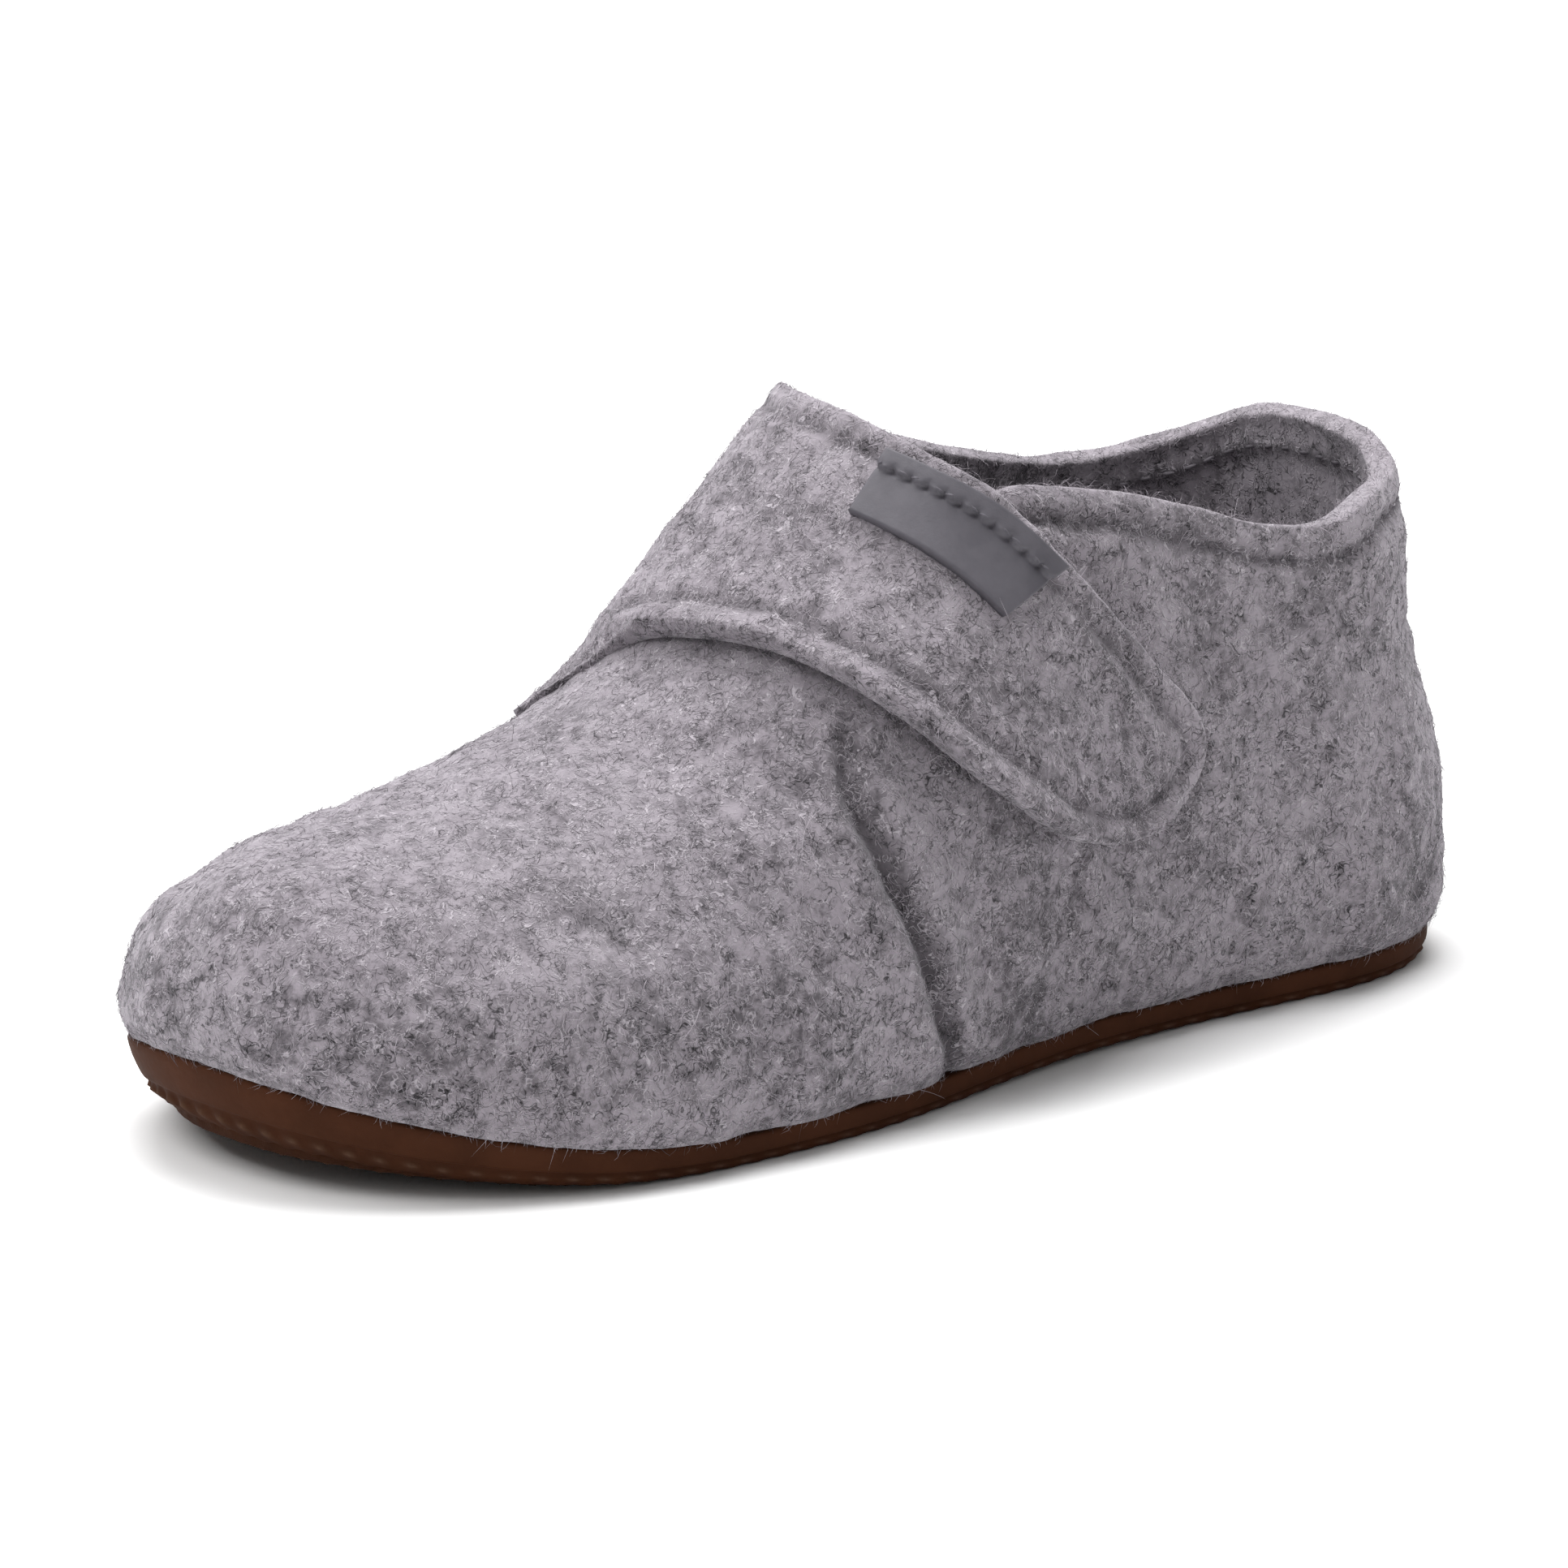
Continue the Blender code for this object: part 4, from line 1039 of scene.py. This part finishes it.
def build_tab():
    """The tab as one closed shell over the strap. Returns its sewn line."""
    a, c = np.meshgrid(crowded_ends(150, 0.3), crowded_ends(64, 0.3), indexing="ij")
    rear = TAB[0, :2] + (TAB[1, :2] - TAB[0, :2])*a[..., None]
    front = TAB[0, 2:] + (TAB[1, 2:] - TAB[0, 2:])*a[..., None]
    spot = rear + (front - rear)*c[..., None]
    q, s = np.moveaxis(strap_places(spot[..., 0], spot[..., 1]), -1, 0)
    base = 2*GAP + STRAP_THICK + strap_lift(spot[..., 0], spot[..., 1])
    edge = np.minimum(np.minimum(a, 1 - a)*TAB_LONG, np.minimum(c, 1 - c)*TAB_WIDE)
    rounded = 0.00025*(1 - np.sqrt(1 - ramp(edge, 0.00025, 0.0)**2))
    pulled = np.abs(np.sin(math.pi*a*TAB_STITCHES))
    step = TAB_FOLD_SHARE - 0.06 + 0.05*pulled
    fold = TAB_FOLD*soft(ramp(c, step + 0.025, step - 0.015))
    sewn = 0.00022*bell((c - TAB_SEWN)*TAB_WIDE, 0.00040)*(1.3 - pulled)
    high = TAB_THICK + fold - sewn - rounded
    top = over_form(q, s, base + high).reshape(-1, 3)
    bottom = over_form(q, s, base - 0.0004).reshape(-1, 3)
    _, skin = sheet("rubber_tab", top, bottom, q.shape, grey_rubber, "label_tab", False)
    row = int(np.abs(c[0] - TAB_SEWN).argmin())
    normals = vertex_normals(top, skin["quads"])
    return [block.reshape(q.shape + (3,))[:, row] for block in (top, normals)]


def tab_material():
    """Soft grey rubber, slightly uneven, with a fine matt grain."""
    material, tree, shader, place = new_material("grey_tab_rubber")
    grain = noise_node(tree, place, 2600.0, 3.0, 0.6)
    cloud = noise_node(tree, place, 260.0, 3.0, 0.6)
    uneven = range_node(tree, cloud, 0.3, 0.75)
    colour = mix_colour(tree, uneven, (0.078, 0.073, 0.086, 1), (0.102, 0.096, 0.111, 1))
    put(tree, shader.inputs["Base Color"], colour)
    put(tree, shader.inputs["Roughness"], math_node(tree, "MULTIPLY_ADD", grain, 0.2, 0.48))
    shader.inputs["Specular IOR Level"].default_value = 0.35
    put(tree, shader.inputs["Normal"], bump_node(tree, grain, 0.00006, 0.5))
    return material


grey_rubber = tab_material()
tab_line = build_tab()

# %% [markdown]
# Thread is a closed capsule half sunk in what it holds. Rows of them follow the sewn lines: under the collar,
# inside the strap's edge and along the tab's fold.


# %% Stitches
THREAD_SIDES, COLLAR_SEWN_END = 8, 0.49


def walk(line, pitch):
    """Places along a polyline a pitch apart: share-weighted neighbours and the direction of travel."""
    length = np.concatenate([[0.0], np.cumsum(np.linalg.norm(np.diff(line, axis=0), axis=1))])
    at = np.arange(pitch/2, length[-1] - pitch/3, pitch)
    i = np.clip(np.searchsorted(length, at) - 1, 0, len(line) - 2)
    t = ((at - length[i])/(length[i + 1] - length[i]))[:, None]
    return i, t, (line[i + 1] - line[i])/(length[i + 1] - length[i])[:, None]


def capsules(centres, along, up, length, radius):
    """Closed thread capsules: rings that narrow towards both tips and dive there."""
    side = np.cross(up, along)
    tips = np.array([-1.0, -0.93, -0.7, 0.0, 0.7, 0.93, 1.0])
    wide = np.array([0.02, 0.45, 0.82, 1.0, 0.82, 0.45, 0.02])
    angle = np.linspace(0, 2*math.pi, THREAD_SIDES, endpoint=False)
    spin = side[:, None, None]*np.cos(angle)[:, None] + up[:, None, None]*np.sin(angle)[:, None]
    sag = -(tips**2)*radius*1.1
    points = (centres[:, None, None] + along[:, None, None]*(tips*length/2)[:, None, None]
              + up[:, None, None]*sag[:, None, None] + spin*(wide*radius)[:, None, None])
    each = len(tips)*THREAD_SIDES
    quads = band_quads(np.arange(each).reshape(len(tips), THREAD_SIDES))
    caps = np.array([[0, 1, 2, 3], [0, 3, 4, 7], [4, 5, 6, 7]])
    quads = np.concatenate([quads, caps[:, ::-1], caps + each - THREAD_SIDES])
    first = points[0].reshape(-1, 3)
    quads = outward(first - first.mean(0), quads)
    offset = (np.arange(len(centres))*each)[:, None, None]
    return points.reshape(-1, 3), (quads[None] + offset).reshape(-1, 4)


def thread_material(name, colour):
    material, tree, shader, place = new_material(name)
    twist = noise_node(tree, place, 2200.0, 2.0, 0.5)
    lighter = tuple(1.7*c for c in colour) + (1,)
    put(tree, shader.inputs["Base Color"], mix_colour(tree, twist, (*colour, 1), lighter))
    shader.inputs["Roughness"].default_value = 0.8
    put(tree, shader.inputs["Normal"], bump_node(tree, twist, 0.0001, 0.6))
    return material


grey_thread = thread_material("grey_thread", (0.085, 0.077, 0.088))
tab_thread = thread_material("tab_thread", (0.075, 0.070, 0.082))


def sew(name, line, normal, pitch, length, radius, sink, material=grey_thread, slot="grey_felt"):
    """A row of stitches along a line, sunk a little below it."""
    i, t, along = walk(line, pitch)
    up = normal[i]*(1 - t) + normal[i + 1]*t
    up -= along*(up*along).sum(1)[:, None]
    up /= np.linalg.norm(up, axis=1)[:, None]
    centres = line[i]*(1 - t) + line[i + 1]*t - up*sink
    points, quads = capsules(centres, along, up, length, radius)
    make_piece(name, points, quads, material)


def collar_run(line):
    """The collar's sewn line from the throat's outer side round the heel to the inner side."""
    q, side = collar_places
    half = int((side < 0).sum())
    order = np.concatenate([np.arange(half)[::-1], np.arange(len(q) - 1, half - 1, -1)])
    order = order[q[order] < COLLAR_SEWN_END]
    return line[0][order], line[1][order]


sew("collar_stitches", *collar_run(collar_lines[0]), STITCH_PITCH, 0.0014, 0.00022, 0.00008)
sew("inside_stitches", *collar_run(collar_lines[1]), STITCH_PITCH, 0.0014, 0.00022, 0.00004)
for edge, line in zip(("rear", "front"), strap_lines):
    sew(f"strap_{edge}_stitches", *line, STITCH_PITCH, 0.0013, 0.00020, 0.00010)
sew("tab_stitches", *tab_line, 0.0017, 0.0010, 0.00012, 0.00005, tab_thread, "tab_rubber")

# %% [markdown]
# Felt is never smooth: short fibres stand and lie all over it and soften every edge, and a few long hairs
# work loose. Each fibre is a closed three-sided spike along a short path that starts under the surface. Seeds
# fall evenly by area, and each fibre keeps its own shade in an attribute.


# %% Fibres
HAIR_CLEAR, HAIR_ROOT = 0.0001, 0.00006


def scatter(points, quads, count, rng):
    """Even random places on quads: positions and unit normals."""
    normal = quad_normals(points, quads)
    area = np.linalg.norm(normal, axis=1)
    pick = rng.choice(len(quads), count, p=area/area.sum())
    u, v = rng.random((2, count, 1))
    p = points[quads[pick]]
    place = (1 - u)*(1 - v)*p[:, 0] + u*(1 - v)*p[:, 1] + u*v*p[:, 2] + (1 - u)*v*p[:, 3]
    return place, normal[pick]/area[pick][:, None]


def fibre_mesh(paths, up, radius):
    """Closed spikes along paths (fibre, step, xyz): a triangle round each point but the last, the tip."""
    count, steps = paths.shape[:2]
    along = paths[:, 1:] - paths[:, :-1]
    along /= np.linalg.norm(along, axis=2)[..., None]
    a = np.cross(along, up[:, None])
    a /= np.maximum(np.linalg.norm(a, axis=2), 1e-12)[..., None]
    b = np.cross(along, a)
    angle = np.array([0.0, 2.0, 4.0])*math.pi/3
    thin = radius[:, None, None, None]*np.linspace(1.0, 0.6, steps - 1)[None, :, None, None]
    ring = a[:, :, None]*np.cos(angle)[:, None] + b[:, :, None]*np.sin(angle)[:, None]
    body = (paths[:, :-1, None] + ring*thin).reshape(count, -1, 3)
    points = np.concatenate([body, paths[:, -1:]], 1)
    each = points.shape[1]
    k, n = np.meshgrid(np.arange(steps - 2)*3, np.arange(3), indexing="ij")
    m = (n + 1) % 3
    quads = np.stack([k + n, k + m, k + m + 3, k + n + 3], -1).reshape(-1, 4)
    a, b, c, tip = 3*(steps - 2) + np.arange(4)
    triangles = np.array([[a, b, tip], [b, c, tip], [c, a, tip], [2, 1, 0]])
    offset = (np.arange(count)*each)[:, None, None]
    return points.reshape(-1, 3), (quads + offset).reshape(-1, 4), (triangles + offset).reshape(-1, 3)


def fibre_material(name, pale, dark):
    """Wool hair: its shade comes from the fibre's own attribute."""
    material, tree, shader, _ = new_material(name)
    colour = mix_colour(tree, attribute_node(tree, "shade"), (*dark, 1), (*pale, 1))
    put(tree, shader.inputs["Base Color"], colour)
    shader.inputs["Roughness"].default_value = 0.75
    shader.inputs["Specular IOR Level"].default_value = 0.2
    return material


wool_hair = fibre_material("wool_hair", (0.52, 0.475, 0.52), (0.026, 0.021, 0.026))


def grow(name, skins, count, length, rise, radius, seed, dark_share=0.36, curl=0.5, steps=3):
    """Fibres on the given quads: they set off along the surface, rise by a share of their length and curl."""
    rng = np.random.default_rng(seed)
    count = count
    area = np.array([np.linalg.norm(quad_normals(p, f), axis=1).sum() for p, f in skins])
    parts = [scatter(p, f, int(count*share), rng) for (p, f), share in zip(skins, area/area.sum())]
    place, normal = (np.concatenate([part[i] for part in parts]) for i in (0, 1))
    n = len(place)
    course = np.cross(normal, rng.normal(size=(n, 3)))
    course /= np.linalg.norm(course, axis=1)[:, None]
    side = np.cross(normal, course)
    reach = length*rng.uniform(0.5, 1.4, (n, 1))
    lean, bend = rise*rng.uniform(0.1, 1.6, (n, 1)), curl*rng.normal(size=(n, 1))
    t = np.linspace(0.0, 1.0, steps)[None, :, None]
    course, side, normals = course[:, None], side[:, None], normal[:, None]
    bow = course*t + side*bend[:, None]*t*t + normals*lean[:, None]*np.sin(t*math.pi*0.62)
    paths = place[:, None] - normals*HAIR_ROOT + reach[:, None]*bow
    paths[..., 2] = np.maximum(paths[..., 2], HAIR_CLEAR)
    points, quads, triangles = fibre_mesh(paths, normal, radius*rng.uniform(0.7, 1.2, n))
    piece = make_piece(name, points, quads, wool_hair, triangles=triangles)
    dark = rng.random(n) < dark_share*(1 + 0.7*lumps(place, 0.009, seed))
    shade = np.where(dark, rng.uniform(0.0, 0.35, n), rng.uniform(0.55, 1.0, n))
    add_layer(piece, "shade", np.repeat(shade, len(points)//n))


INSIDE_SEEN, FOOT_REACH = 0.026, 0.0012
upper_side = (upper_skin["points"], upper_skin["quads"])
upper_lip = (upper_skin["points"], upper_skin["lip"])
strap_face = (strap_skin["points"], strap_skin["quads"])
strap_lip = (strap_skin["points"], strap_skin["lip"])

# Only the part of the inner wall that shows, and the rows just over the sole, grow their own fibres
inner_points, inner_quads = upper_skin["inner"]
inner_seen = (inner_points, inner_quads[inner_points[inner_quads][:, :, 2].min(1) > INSIDE_SEEN])
corners = upper_skin["points"][upper_skin["quads"]]
sole_line = edge_top(0.5 - (corners[:, :, 0].mean(1) - stand[0])/LENGTH)
foot_rows = (upper_skin["points"], upper_skin["quads"][corners[:, :, 2].min(1) < sole_line + FOOT_REACH])

# Fibres: name, where, count, length, rise, radius, seed, share of dark ones, curl
for row in (
    ("upper_nap_short", [upper_side], 19000, 0.0009, 0.24, 0.000028, 41, 0.50),
    ("upper_nap_long", [upper_side], 15000, 0.0015, 0.17, 0.000030, 42, 0.44, 0.9),
    ("strap_nap", [strap_face, strap_lip], 9000, 0.0012, 0.20, 0.000028, 43, 0.45, 0.8),
    ("collar_nap", [upper_lip], 2600, 0.0011, 0.45, 0.000022, 44),
    ("foot_nap", [foot_rows], 3600, 0.0011, 0.28, 0.000020, 45),
    ("inside_nap", [inner_seen], 5000, 0.0013, 0.25, 0.000023, 47, 0.36, 0.8),
):
    grow(*row)
grow("loose_hairs", [upper_side, strap_face], 150, 0.0048, 0.28, 0.000020, 46, 0.2, 0.7, steps=7)

# %% [markdown]
# The shoe stands on a plain pale floor in soft studio light: a big key from the upper left, a wide sheet of
# light overhead and a weak fill from the right in front. The camera looks from the photograph's angle, far
# off and with a long lens, so that the sides stay nearly parallel.

# %% Floor, light and camera
FLOOR_HALF = 3.0


def build_floor():
    mesh = bpy.data.meshes.new("floor")
    corners = [(x*FLOOR_HALF, y*FLOOR_HALF, 0) for x, y in ((-1, -1), (1, -1), (1, 1), (-1, 1))]
    mesh.from_pydata(corners, [], [(0, 1, 2, 3)])
    floor = bpy.data.objects.new("floor", mesh)
    bpy.context.scene.collection.objects.link(floor)
    material, _, shader, _ = new_material("pale_floor")
    shader.inputs["Base Color"].default_value = (0.90, 0.90, 0.90, 1)
    shader.inputs["Roughness"].default_value = 0.9
    mesh.materials.append(material)


CAMERA_TURN, CAMERA_RISE = math.radians(-40.0), math.radians(15.8)
CAMERA_DISTANCE, CAMERA_LENS, SENSOR_WIDTH = 1.3, 325.3, 36.0
AIM_HEIGHT, AIM_RIGHT, AIM_UP = 0.030, -0.00067, -0.00558
WORLD_STRENGTH = 0.31
back = Vector((math.sin(CAMERA_TURN)*math.cos(CAMERA_RISE), -math.cos(CAMERA_TURN)*math.cos(CAMERA_RISE),
               math.sin(CAMERA_RISE)))
right = Vector((math.cos(CAMERA_TURN), math.sin(CAMERA_TURN), 0.0))
up = back.cross(right)
target = Vector((stand[0], stand[1], AIM_HEIGHT)) + right*AIM_RIGHT + up*AIM_UP


def build_camera():
    data = bpy.data.cameras.new("camera")
    data.lens, data.sensor_width = CAMERA_LENS, SENSOR_WIDTH
    data.clip_start, data.clip_end = 0.05, 20.0
    camera = bpy.data.objects.new("camera", data)
    facing = Matrix((right, up, back)).transposed().to_4x4()
    camera.matrix_world = Matrix.Translation(target + back*CAMERA_DISTANCE) @ facing
    bpy.context.scene.collection.objects.link(camera)
    bpy.context.scene.camera = camera
    return camera


def area_light(name, place, size, power):
    """A square lamp, aimed at the shoe from a place: metres to the right, up and back to the camera."""
    data = bpy.data.lights.new(name, "AREA")
    data.size, data.energy = size, power
    lamp = bpy.data.objects.new(name, data)
    lamp.location = target + right*place[0] + Vector((0, 0, 1))*place[1] + back*place[2]
    lamp.rotation_euler = (lamp.location - target).to_track_quat("Z", "Y").to_euler()
    bpy.context.scene.collection.objects.link(lamp)


build_floor()
camera = build_camera()
area_light("key", (-0.75, 1.00, 0.20), 0.75, 11.2)
area_light("overhead", (0.00, 1.20, -0.35), 0.9, 22.0)
area_light("fill", (0.60, 0.45, 0.90), 0.7, 0.8)
world = bpy.data.worlds.new("studio")
world.use_nodes = True
sky = world.node_tree.nodes["Background"]
sky.inputs["Color"].default_value = (1, 1, 1, 1)
sky.inputs["Strength"].default_value = WORLD_STRENGTH
bpy.context.scene.world = world
bpy.context.scene.view_settings.view_transform = "Standard"
print("camera at", tuple(round(v, 3) for v in camera.location))
